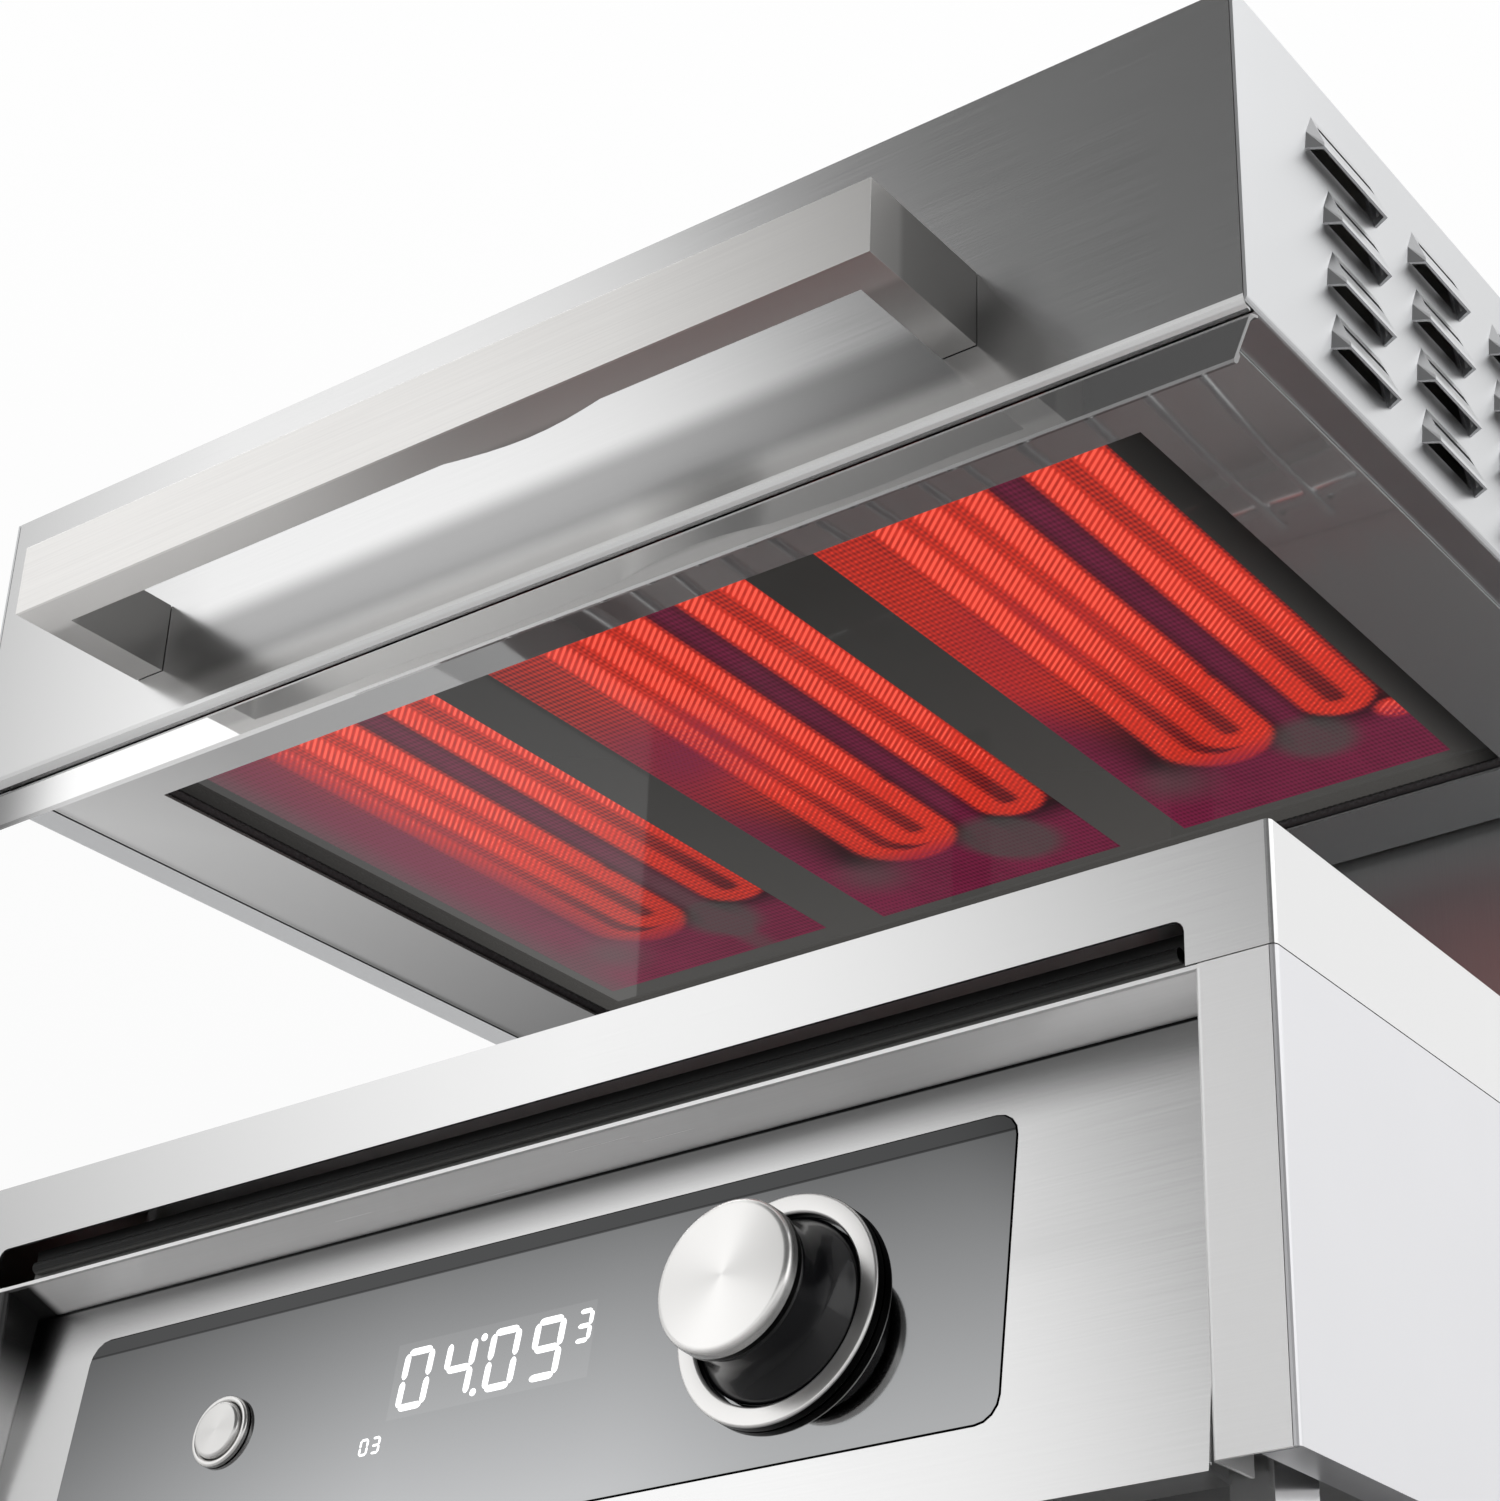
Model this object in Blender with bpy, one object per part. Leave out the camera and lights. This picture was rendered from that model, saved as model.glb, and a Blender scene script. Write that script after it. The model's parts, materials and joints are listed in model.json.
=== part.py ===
"""Lift-type infrared salamander grill: fixed base with control panel and drip tray, rear
column with guide rods, and a hood that slides up and down over the grilling surface.
Millimetre values, +X right, +Z up, front towards -Y. Depths are measured from the front face
of the base cover and shifted by Y_SHIFT so that the whole part is centred on the origin."""
import bpy
import bmesh
from math import atan, cos, pi, radians, sin
from mathutils import Matrix, Vector

MM = 0.001
Y_SHIFT = -200.0          # centres the overall depth, handle to cable gland
GAP = 0.3                 # assembly gap between touching pieces
SHEET = 1.2               # sheet steel thickness
FOLD = 2.0                # outer radius of a fold in the sheet

# base
BASE_HALF_W = 286.5
BASE_DEPTH = 470.0
BASE_TOP = 215.0
COVER_SKIRT_Z = 174.3     # lower edge of the cover's flanges
SLOT_X0, SLOT_X1 = -266.0, 256.0
SLOT_TOP_Z = 189.6
POST_W = 27.7
SKIRT_Z = 25.4            # lower edge of posts, sides and back
FLOOR_Z = 36.0
DECK_Y = 22.4             # front edge of the deck behind the corner posts
DECK_Z = 163.5
PANEL_TOP_Z = COVER_SKIRT_Z - 0.4
SIDE_FLANGE = 13.0
RACK_OPENING = (-235.0, 235.0, 35.0, 325.0)     # x and y of the hole under the rack
RACK_CORNER = 14.0
DRIP_RIM_Z = 190.0        # lower edge of the rim folded down round that hole
COLUMN_OPENING = (-190.0, 190.0, 380.0, 440.0)  # where rods and wiring pass up the column
GLAND_X, GLAND_Z = 200.0, 80.0
FEET = (("front_left", -256.0, 40.0), ("front_right", 256.0, 40.0),
        ("rear_left", -256.0, 432.0), ("rear_right", 256.0, 432.0))

# drip tray and wire rack
TRAY_HALF_W = 253.9
TRAY_Y0, TRAY_Y1 = 8.0, 334.0
TRAY_Z0, TRAY_Z1 = 175.0, 189.0
RACK_Z = BASE_TOP + 7.0   # axis of the long rods
RACK_ROD_R = 2.5
RACK_ROD_X0, RACK_ROD_PITCH, RACK_RODS = -182.0, 28.0, 14
RACK_CROSS_Y = (50.0, 183.0, 316.0)
RACK_HALF_W = 188.0

# tilted control fascia
PANEL_Y = -1.0
PANEL_Z = 22.5
PANEL_SLOPE = 0.1216
GLASS_X0, GLASS_X1 = -221.5, 187.3
GLASS_V0, GLASS_V1 = 26.8, 126.9
KNOB_X, KNOB_V = 104.0, 76.2
BUTTON_X, BUTTON_V = -141.0, 78.8

# column and lift
COLUMN_HALF_W = 262.0
COLUMN_Y = 352.0
COLUMN_TOP = 505.0
GUIDE_X, GUIDE_Y, GUIDE_R = 60.0, 410.0, 8.0
STRUT_X = 150.0

# hood
HOOD_HALF_W = 300.0
HOOD_FRONT = -22.6
HOOD_BACK = 348.0
HOOD_BOTTOM = 384.7
HOOD_SIDE_Z = 385.8
HOOD_TOP = 515.7
OPEN_X = 234.2
OPEN_Y0, OPEN_Y1 = 20.3, 307.2
LIP_Z = 365.8
ZONE_X = (-156.5, -3.2, 153.2)
ZONE_NAMES = ("left", "middle", "right")
ZONE_Y0, ZONE_Y1 = -2.0, 293.0
LOUVRE_Y = (34.5, 101.0, 168.0, 235.0)
LOUVRE_Z = (401.5, 427.6, 453.7, 479.3)
LOUVRE_LEN = 43.5
LOUVRE_SLIT_Z = (2.0, 13.0)

# heater parts above the glass
GLASS_Z = 391.2
GLASS_THICK = 4.0
SEAL_Z = 388.6
STRANDS = (-30.5, -12.0, 6.5, 34.0, 53.5)       # ribbon strands across one zone
LIMITER_X = 20.4

# handle
HANDLE_X0, HANDLE_X1 = -207.5, 196.8
HANDLE_Z0, HANDLE_Z1 = 409.6, 439.7
HANDLE_REACH = 61.6
HANDLE_THICK = 15.0
HANDLE_LEG = 14.3
PALM_SWELL = (-1.0, 72.0, 4.2)                  # start, end and height of the swelling


# ---------------------------------------------------------------- helpers
def clear_scene():
    for obj in list(bpy.data.objects):
        bpy.data.objects.remove(obj, do_unlink=True)


def material(name, rgb, metallic, roughness, emission=None):
    mat = bpy.data.materials.new(name)
    mat.use_nodes = True
    bsdf = mat.node_tree.nodes["Principled BSDF"]
    bsdf.inputs["Base Color"].default_value = (*rgb, 1.0)
    bsdf.inputs["Metallic"].default_value = metallic
    bsdf.inputs["Roughness"].default_value = roughness
    if emission:
        bsdf.inputs["Emission Color"].default_value = (*emission, 1.0)
        bsdf.inputs["Emission Strength"].default_value = 2.0
    return mat


def to_world(x, y, z):
    return Vector((x * MM, (y + Y_SHIFT) * MM, z * MM))


def finish(name, bm, mat, origin=None):
    """Make an object from a bmesh in metres; origin is the joint point in part millimetres."""
    bmesh.ops.recalc_face_normals(bm, faces=bm.faces)
    centre = to_world(*origin) if origin else Vector((0.0, 0.0, 0.0))
    bmesh.ops.translate(bm, verts=bm.verts, vec=-centre)
    mesh = bpy.data.meshes.new(name)
    bm.to_mesh(mesh)
    bm.free()
    for poly in mesh.polygons:
        poly.use_smooth = True
    mesh.set_sharp_from_angle(angle=radians(35.0))
    obj = bpy.data.objects.new(name, mesh)
    obj.location = centre
    obj.data.materials.append(mat)
    bpy.context.scene.collection.objects.link(obj)
    return obj


def add_prism(bm, points, axis, lo, hi, frame=None):
    """Extrude a closed polygon along x, y or z; points are the other two coordinates."""
    def place(a, b, t):
        co = {"x": (t, a, b), "y": (a, t, b), "z": (a, b, t)}[axis]
        return frame(*co) if frame else to_world(*co)
    low = [bm.verts.new(place(a, b, lo)) for a, b in points]
    high = [bm.verts.new(place(a, b, hi)) for a, b in points]
    count = len(points)
    bm.faces.new(low)
    bm.faces.new(list(reversed(high)))
    for i in range(count):
        j = (i + 1) % count
        bm.faces.new((low[i], high[i], high[j], low[j]))


def add_box(bm, x0, x1, y0, y1, z0, z1, frame=None):
    add_prism(bm, [(x0, y0), (x1, y0), (x1, y1), (x0, y1)], "z", z0, z1, frame)


def add_hull(bm, points):
    """Convex body through the given part-millimetre points."""
    part = bmesh.new()
    verts = [part.verts.new(to_world(*p)) for p in points]
    result = bmesh.ops.convex_hull(part, input=verts)
    spare = [g for g in result["geom_interior"] if isinstance(g, bmesh.types.BMVert)]
    bmesh.ops.delete(part, geom=spare, context="VERTS")
    bmesh.ops.recalc_face_normals(part, faces=part.faces)
    mesh = bpy.data.meshes.new("hull")
    part.to_mesh(mesh)
    part.free()
    bm.from_mesh(mesh)
    bpy.data.meshes.remove(mesh)


def add_revolve(bm, profile, segments, place):
    """Turn a closed (radius, height) profile; place maps local x, y, z to metres."""
    rings = []
    for radius, height in profile:
        if radius < 1e-6:
            rings.append([bm.verts.new(place(0.0, 0.0, height))])
        else:
            ring = []
            for i in range(segments):
                a = 2.0 * pi * i / segments
                ring.append(bm.verts.new(place(radius * cos(a), radius * sin(a), height)))
            rings.append(ring)
    pairs = list(zip(rings, rings[1:]))
    if profile[0][0] > 1e-6:
        pairs.append((rings[-1], rings[0]))
    for first, second in pairs:
        for i in range(segments):
            j = (i + 1) % segments
            if len(first) == 1 and len(second) == 1:
                break
            if len(first) == 1:
                bm.faces.new((first[0], second[i], second[j]))
            elif len(second) == 1:
                bm.faces.new((first[i], second[0], first[j]))
            else:
                bm.faces.new((first[i], second[i], second[j], first[j]))


def at_panel(x, v, n):
    """Fascia coordinates (along x, up the slope, outward) to metres."""
    tilt = atan(PANEL_SLOPE)
    return to_world(x, PANEL_Y + v * sin(tilt) - n * cos(tilt),
                    PANEL_Z + v * cos(tilt) + n * sin(tilt))


def panel_axis(x0, v0):
    return lambda a, b, h: at_panel(x0 + a, v0 + b, h)


def z_axis(x0, y0):
    return lambda a, b, h: to_world(x0 + a, y0 + b, h)


def y_axis(x0, z0):
    return lambda a, b, h: to_world(x0 + a, h, z0 - b)


def rounded_rect(x0, x1, y0, y1, radius, steps=4):
    points = []
    for cx, cy, start in ((x1 - radius, y0 + radius, -90), (x1 - radius, y1 - radius, 0),
                          (x0 + radius, y1 - radius, 90), (x0 + radius, y0 + radius, 180)):
        for i in range(steps + 1):
            a = radians(start + 90.0 * i / steps)
            points.append((cx + radius * cos(a), cy + radius * sin(a)))
    return points


def arc(cx, cy, radius, start, end, steps=4):
    """Points of an arc between two angles in degrees."""
    angles = [radians(start + (end - start) * i / steps) for i in range(steps + 1)]
    return [(cx + radius * cos(a), cy + radius * sin(a)) for a in angles]


def mirrored(points, sign):
    return [(sign * x, y) for x, y in points]


def circle(cx, cy, radius, count=16):
    return [(cx + radius * cos(2 * pi * i / count), cy + radius * sin(2 * pi * i / count))
            for i in range(count)]


def combine(obj, operation, builder):
    """Boolean the object with a temporary body filled in by builder(bm)."""
    bm = bmesh.new()
    builder(bm)
    bmesh.ops.recalc_face_normals(bm, faces=bm.faces)
    mesh = bpy.data.meshes.new("tool")
    bm.to_mesh(mesh)
    bm.free()
    tool = bpy.data.objects.new("tool", mesh)
    tool.hide_render = True
    tool.display_type = "WIRE"
    bpy.context.scene.collection.objects.link(tool)
    inverse = obj.matrix_basis.inverted()
    mesh.transform(inverse)
    tool.matrix_basis = obj.matrix_basis
    mod = obj.modifiers.new(operation.lower(), "BOOLEAN")
    mod.operation = operation
    mod.solver = "EXACT"
    mod.object = tool
    bpy.context.view_layer.update()
    evaluated = obj.evaluated_get(bpy.context.evaluated_depsgraph_get())
    result = bpy.data.meshes.new_from_object(evaluated)
    obj.modifiers.remove(mod)
    old = obj.data
    obj.data = result
    bpy.data.meshes.remove(old)
    bpy.data.objects.remove(tool, do_unlink=True)
    for poly in result.polygons:
        poly.use_smooth = True
    result.set_sharp_from_angle(angle=radians(35.0))


def cut(obj, builder):
    combine(obj, "DIFFERENCE", builder)


def join(obj, builder):
    combine(obj, "UNION", builder)


def box_part(name, mat, x0, x1, y0, y1, z0, z1, origin=None, frame=None):
    bm = bmesh.new()
    add_box(bm, x0, x1, y0, y1, z0, z1, frame)
    return finish(name, bm, mat, origin)


def prism_part(name, mat, points, axis, lo, hi, origin=None, frame=None):
    bm = bmesh.new()
    add_prism(bm, points, axis, lo, hi, frame)
    return finish(name, bm, mat, origin)


def revolve_part(name, mat, profile, segments, place, origin=None):
    bm = bmesh.new()
    add_revolve(bm, profile, segments, place)
    return finish(name, bm, mat, origin)


# ---------------------------------------------------------------- base
def build_base_panels(mats):
    steel, w = mats["steel"], BASE_HALF_W
    notch_x = w - POST_W - 0.5
    floor = prism_part("base_floor", mats["galvanised"],
                       [(-w + 1.6, DECK_Y), (-notch_x, DECK_Y), (-notch_x, 4.0),
                        (notch_x, 4.0), (notch_x, DECK_Y), (w - 1.6, DECK_Y),
                        (w - 1.6, BASE_DEPTH - 1.6), (-w + 1.6, BASE_DEPTH - 1.6)],
                       "z", FLOOR_Z, FLOOR_Z + 1.5)
    for _, x, y in FEET:
        cut(floor, lambda bm: add_prism(bm, circle(x, y, 5.4), "z", FLOOR_Z - 2, FLOOR_Z + 4))

    section = [(w, PANEL_TOP_Z), (w - SHEET, PANEL_TOP_Z), (w - SHEET, SKIRT_Z + SHEET),
               (w - SIDE_FLANGE, SKIRT_Z + SHEET), (w - SIDE_FLANGE, SKIRT_Z), (w, SKIRT_Z)]
    hem = arc(w - FOLD, FOLD, FOLD, 270, 360) + [(w, FOLD + 1.0), (w - SHEET, FOLD + 1.0)]
    hem += arc(w - FOLD, FOLD, FOLD - SHEET, 360, 270)
    for side, s in (("left", -1), ("right", 1)):
        panel = prism_part("base_side_" + side, steel, mirrored(section, s), "y", FOLD,
                           BASE_DEPTH - 1.6)
        join(panel, lambda bm: add_prism(bm, mirrored(hem, s), "z", SKIRT_Z, PANEL_TOP_Z))

    back = box_part("base_back", steel, -w + 1.6, w - 1.6, BASE_DEPTH - SHEET, BASE_DEPTH,
                    SKIRT_Z, PANEL_TOP_Z)
    cut(back, lambda bm: add_prism(bm, circle(GLAND_X, GLAND_Z, 8.6, 24), "y",
                                   BASE_DEPTH - 4.0, BASE_DEPTH + 4.0))


def build_front(mats):
    """Corner posts with the sill between them, and the tilted fascia."""
    steel, w, top = mats["steel"], BASE_HALF_W, PANEL_TOP_Z
    post_in = w - POST_W
    bm = bmesh.new()
    add_prism(bm, [(0.05, top - 1.5), (0.05, top - 0.1), (2.0, top - 0.1), (17.6, 167.2),
                   (17.6, 165.8), (1.8, top - 1.5)], "x", -post_in - FOLD + 0.1, post_in + FOLD - 0.1)
    frame = finish("front_frame", bm, steel)
    outer = w - FOLD - GAP
    post = arc(post_in + FOLD, FOLD, FOLD, 270, 180) + [(post_in, 22.0), (post_in + SHEET, 22.0)]
    post += arc(post_in + FOLD, FOLD, FOLD - SHEET, 180, 270) + [(outer, SHEET), (outer, 0.0)]
    for s in (-1, 1):
        join(frame, lambda bm: add_prism(bm, mirrored(post, s), "z", SKIRT_Z, top))

    fascia_top = (165.4 - PANEL_Z) / cos(atan(PANEL_SLOPE))
    fascia = prism_part("control_fascia", steel,
                        [(0.0, 0.0), (fascia_top, 0.0), (fascia_top, -1.5), (1.5, -1.5),
                         (1.5, -12.0), (0.0, -12.0)], "x", -post_in + GAP, post_in - GAP,
                        frame=at_panel)
    opening = rounded_rect(GLASS_X0 - 0.6, GLASS_X1 + 0.6, GLASS_V0 - 0.6, GLASS_V1 + 0.6, 8.6)
    cut(fascia, lambda bm: add_prism(bm, opening, "z", -8.0, 4.0, at_panel))


def build_top_cover(mats):
    w = BASE_HALF_W
    cover = prism_part("top_cover", mats["steel"],
                       rounded_rect(-w, w, 0.0, BASE_DEPTH, FOLD), "z", COVER_SKIRT_Z, BASE_TOP)
    inside = rounded_rect(-w + SHEET, w - SHEET, SHEET, BASE_DEPTH - SHEET, FOLD - SHEET)
    cut(cover, lambda bm: add_prism(bm, inside, "z", COVER_SKIRT_Z - 5.0, BASE_TOP - SHEET))
    slot = [(SLOT_X0, COVER_SKIRT_Z - 5.0), (SLOT_X1, COVER_SKIRT_Z - 5.0)]
    corner = 4.0
    for centre, start in ((SLOT_X1 - corner, 0.0), (SLOT_X0 + corner, 90.0)):
        for i in range(5):
            a = radians(start + 90.0 * i / 4)
            slot.append((centre + corner * cos(a), SLOT_TOP_Z - corner + corner * sin(a)))
    cut(cover, lambda bm: add_prism(bm, slot, "y", -3.0, 3.0))
    x0, x1, y0, y1 = RACK_OPENING
    rim = rounded_rect(x0 - SHEET, x1 + SHEET, y0 - SHEET, y1 + SHEET, RACK_CORNER + SHEET)
    join(cover, lambda bm: add_prism(bm, rim, "z", DRIP_RIM_Z, BASE_TOP - 0.5 * SHEET))
    for opening, radius in ((RACK_OPENING, RACK_CORNER), (COLUMN_OPENING, 10.0)):
        cut(cover, lambda bm: add_prism(bm, rounded_rect(*opening, radius), "z",
                                        DRIP_RIM_Z - 5.0, BASE_TOP + 5.0))


def build_tray_deck(mats):
    """Sheet that closes the base above the electronics, with the two tray rails on it."""
    dark, w = mats["galvanised"], BASE_HALF_W
    deck = box_part("tray_deck", dark, -w + 1.6, w - 1.6, DECK_Y, BASE_DEPTH - 1.6,
                    DECK_Z, DECK_Z + SHEET)
    for s in (-1, 1):
        cut(deck, lambda bm: add_prism(bm, circle(s * STRUT_X, GUIDE_Y, 13.0), "z", 160, 168))

    for side, s in (("left", -1), ("right", 1)):
        outline = [(s * 244.0, 174.7), (s * 244.0, 173.5), (s * 254.5, 173.5),
                   (s * 254.5, 165.0), (s * 268.0, 165.0), (s * 268.0, 166.2),
                   (s * 255.7, 166.2), (s * 255.7, 188.8), (s * 254.5, 188.8),
                   (s * 254.5, 174.7)]
        prism_part("tray_rail_" + side, dark, outline, "y", DECK_Y, 340.0)


def build_electrics(mats):
    gland = [(4.0, 458.0), (12.0, 458.0), (12.0, 468.4), (8.2, 468.4), (8.2, 470.3),
             (13.0, 470.3), (13.0, 475.5), (10.5, 476.0), (10.0, 481.0), (7.5, 484.2),
             (4.0, 484.2)]
    revolve_part("cable_gland", mats["black_plastic"], gland, 24,
                 y_axis(GLAND_X, GLAND_Z))

    board = box_part("power_board", mats["circuit"], -220.0, -60.0, 120.0, 300.0, 47.0, 48.6)
    for x0, x1, y0, y1, z1 in ((-205, -165, 140, 190, 66), (-150, -110, 140, 190, 66),
                               (-205, -120, 215, 280, 82), (-95, -72, 150, 270, 72)):
        join(board, lambda bm: add_box(bm, x0, x1, y0, y1, 48.3, z1))
    for x in (-214.0, -66.0):
        for y in (126.0, 294.0):
            join(board, lambda bm: add_prism(bm, circle(x, y, 4.0, 8), "z",
                                             FLOOR_Z + 1.8, 47.3))

    block = [(165.0, 37.8), (235.0, 37.8), (235.0, 46.0)]
    for i in range(5):
        x = 233.0 - 14.0 * i
        block += [(x, 46.0), (x, 58.0), (x - 10.0, 58.0), (x - 10.0, 46.0)]
    block += [(165.0, 46.0)]
    prism_part("terminal_block", mats["white_plastic"], block, "y", 410.0, 440.0)


def build_feet(mats):
    for tag, x, y in FEET:
        profile = [(0.0, 0.0), (19.0, 0.0), (20.0, 1.5), (20.0, 4.0), (9.0, 7.0), (7.0, 7.0),
                   (7.0, 20.0), (0.0, 20.0)]
        foot = revolve_part("foot_" + tag, mats["bright_steel"], profile, 24, z_axis(x, y),
                            origin=(x, y, 0.0))
        join(foot, lambda bm: add_prism(bm, circle(x, y, 14.5, 6), "z", 19.0, FLOOR_Z - GAP))
        join(foot, lambda bm: add_prism(bm, circle(x, y, 5.0, 12), "z", 34.0, 48.0))


def build_controls(mats):
    glass = prism_part("control_glass", mats["dark_glass"],
                       rounded_rect(GLASS_X0, GLASS_X1, GLASS_V0, GLASS_V1, 8.0), "z",
                       -2.6, 0.4, frame=at_panel)
    cut(glass, lambda bm: add_prism(bm, circle(KNOB_X, KNOB_V, 6.2, 24), "z", -5, 3, at_panel))
    cut(glass, lambda bm: add_prism(bm, circle(BUTTON_X, BUTTON_V, 11.9, 32), "z", -5, 3,
                                    at_panel))

    housing = box_part("control_housing", mats["black_plastic"], GLASS_X0 - 7, GLASS_X1 + 7,
                       GLASS_V0 - 7, GLASS_V1 + 7, -24.0, -2.9, frame=at_panel)
    cut(housing, lambda bm: add_box(bm, GLASS_X0 + 3, GLASS_X1 - 3, GLASS_V0 + 3,
                                    GLASS_V1 - 3, -22.0, 1.0, at_panel))

    board = box_part("display_board", mats["circuit"], -100.0, 50.0, 40.0, 112.0, -9.6, -8.0,
                     frame=at_panel)
    join(board, lambda bm: add_box(bm, -72.0, 30.0, 62.0, 94.0, -8.3, -2.9, at_panel))
    for x in (-92.0, 42.0):
        join(board, lambda bm: add_prism(bm, circle(x, 76.0, 4.0, 8), "z", -21.7, -9.3,
                                         at_panel))

    knob = panel_axis(KNOB_X, KNOB_V)
    ring = [(31.8, 0.7), (38.5, 0.7), (38.5, 2.2), (37.6, 3.9), (36.0, 4.8), (34.2, 4.8),
            (32.6, 3.9), (31.8, 2.4)]
    revolve_part("knob_ring", mats["bright_steel"], ring, 48, knob)
    encoder = [(3.2, -19.0), (11.0, -19.0), (11.0, -6.0), (5.6, -6.0), (5.6, 1.2), (3.2, 1.2)]
    revolve_part("encoder", mats["black_plastic"], encoder, 24, knob)
    tilt = atan(PANEL_SLOPE)
    knob_point = (KNOB_X, PANEL_Y + KNOB_V * sin(tilt), PANEL_Z + KNOB_V * cos(tilt))
    body = [(0.0, -17.0), (3.0, -17.0), (3.0, 1.5), (30.4, 1.5), (31.0, 2.4), (30.6, 3.6),
            (28.0, 7.0), (25.8, 11.0), (24.7, 15.5), (24.4, 20.0), (24.4, 24.2), (0.0, 24.2)]
    revolve_part("knob_body", mats["gloss_black"], body, 48, knob, origin=knob_point)
    cap = [(0.0, 24.5), (24.6, 24.5), (25.5, 25.3), (25.5, 30.6), (25.0, 31.4), (24.2, 31.8),
           (0.0, 31.8)]
    revolve_part("knob_cap", mats["bright_steel"], cap, 48, knob, origin=knob_point)

    button = panel_axis(BUTTON_X, BUTTON_V)
    bezel = [(10.6, -13.0), (11.6, -13.0), (11.6, 0.7), (13.0, 0.7), (13.0, 2.0), (12.4, 2.8),
             (10.9, 2.8), (10.6, 2.5)]
    revolve_part("button_ring", mats["bright_steel"], bezel, 32, button)
    button_point = (BUTTON_X, PANEL_Y + BUTTON_V * sin(tilt), PANEL_Z + BUTTON_V * cos(tilt))
    press = [(0.0, -6.0), (10.3, -6.0), (10.3, 3.6), (9.6, 4.4), (0.0, 4.4)]
    revolve_part("button_cap", mats["bright_steel"], press, 32, button, origin=button_point)
    switch = [(0.0, -21.7), (10.0, -21.7), (10.0, -9.5), (3.5, -9.5), (3.5, -7.9), (0.0, -7.9)]
    revolve_part("button_switch", mats["black_plastic"], switch, 16, button)


def build_tray_and_rack(mats):
    w, y0, y1, z0, z1 = TRAY_HALF_W, TRAY_Y0, TRAY_Y1, TRAY_Z0, TRAY_Z1
    tray = box_part("drip_tray", mats["enamel"], -w, w, y0, y1, z0, z1,
                    origin=(0.0, y0, 0.5 * (z0 + z1)))
    cut(tray, lambda bm: add_box(bm, -w + SHEET, w - SHEET, y0 + SHEET, y1 - SHEET,
                                 z0 + SHEET, z1 + 6.0))
    bead = [(6.4 + 2.5 * cos(radians(a)), 181.4 + 2.5 * sin(radians(a)))
            for a in range(0, 360, 36)]
    join(tray, lambda bm: add_prism(bm, bead, "x", -251.0, 251.0))

    radius, top = RACK_ROD_R, RACK_Z

    def add_cross_rod(bm, y):
        add_prism(bm, [(y + radius * cos(a * pi / 4), top - 4.4 + radius * sin(a * pi / 4))
                       for a in range(8)], "x", -RACK_HALF_W, RACK_HALF_W)

    bm = bmesh.new()
    add_cross_rod(bm, RACK_CROSS_Y[0])
    rack = finish("wire_rack", bm, mats["chrome"], origin=(0.0, RACK_CROSS_Y[1], top))

    def add_rods(bm):
        path = [(26.0, top - 3.6), (35.0, top), (325.0, top), (334.0, top - 3.6)]
        for k in range(RACK_RODS):
            x = RACK_ROD_X0 + RACK_ROD_PITCH * k
            rings = []
            for i, (y, z) in enumerate(path):
                lean = (radians(-22.0), radians(-11.0), radians(11.0), radians(22.0))[i]
                ring = []
                for a in range(6):
                    c, s = radius * cos(a * pi / 3), radius * sin(a * pi / 3)
                    ring.append(bm.verts.new(to_world(x + c, y + s * sin(lean),
                                                      z + s * cos(lean))))
                rings.append(ring)
            for first, second in zip(rings, rings[1:]):
                for i in range(6):
                    j = (i + 1) % 6
                    bm.faces.new((first[i], first[j], second[j], second[i]))
            bm.faces.new(rings[0])
            bm.faces.new(list(reversed(rings[-1])))

    join(rack, add_rods)
    for y in RACK_CROSS_Y[1:]:
        join(rack, lambda bm: add_cross_rod(bm, y))


def build_column(mats):
    steel, w = mats["steel"], COLUMN_HALF_W
    y0, y1 = COLUMN_Y, BASE_DEPTH - 1.7
    z0 = BASE_TOP + GAP
    front = prism_part("column_front", mats["dark_steel"],
                       [(-w, y1), (-w, y0), (w, y0), (w, y1), (w - SHEET, y1),
                        (w - SHEET, y0 + SHEET), (-w + SHEET, y0 + SHEET), (-w + SHEET, y1)],
                       "z", z0, COLUMN_TOP)
    for s in (-1, 1):
        slot = rounded_rect(s * GUIDE_X - 11.0, s * GUIDE_X + 11.0, 270.0, 492.0, 6.0, 2)
        cut(front, lambda bm: add_prism(bm, slot, "y", y0 - 3.0, y0 + 4.0))
    box_part("column_back", steel, -w, w, BASE_DEPTH - 1.4, BASE_DEPTH - 0.2, z0, COLUMN_TOP)
    box_part("column_cap", mats["dark_steel"], -w - 1.0, w + 1.0, y0 - 0.8, BASE_DEPTH,
             COLUMN_TOP + GAP, COLUMN_TOP + GAP + SHEET)
    for side, s in (("left", -1), ("right", 1)):
        revolve_part("guide_rod_" + side, mats["bright_steel"],
                     [(0.0, 165.0), (GUIDE_R, 165.0), (GUIDE_R, COLUMN_TOP),
                      (0.0, COLUMN_TOP)], 24, z_axis(s * GUIDE_X, GUIDE_Y))
        tube = [(0.0, 37.8), (11.0, 37.8), (11.0, 262.0), (4.4, 262.0), (4.4, 45.0),
                (0.0, 45.0)]
        revolve_part("strut_cylinder_" + side, mats["gloss_black"], tube, 24,
                     z_axis(s * STRUT_X, GUIDE_Y))


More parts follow.
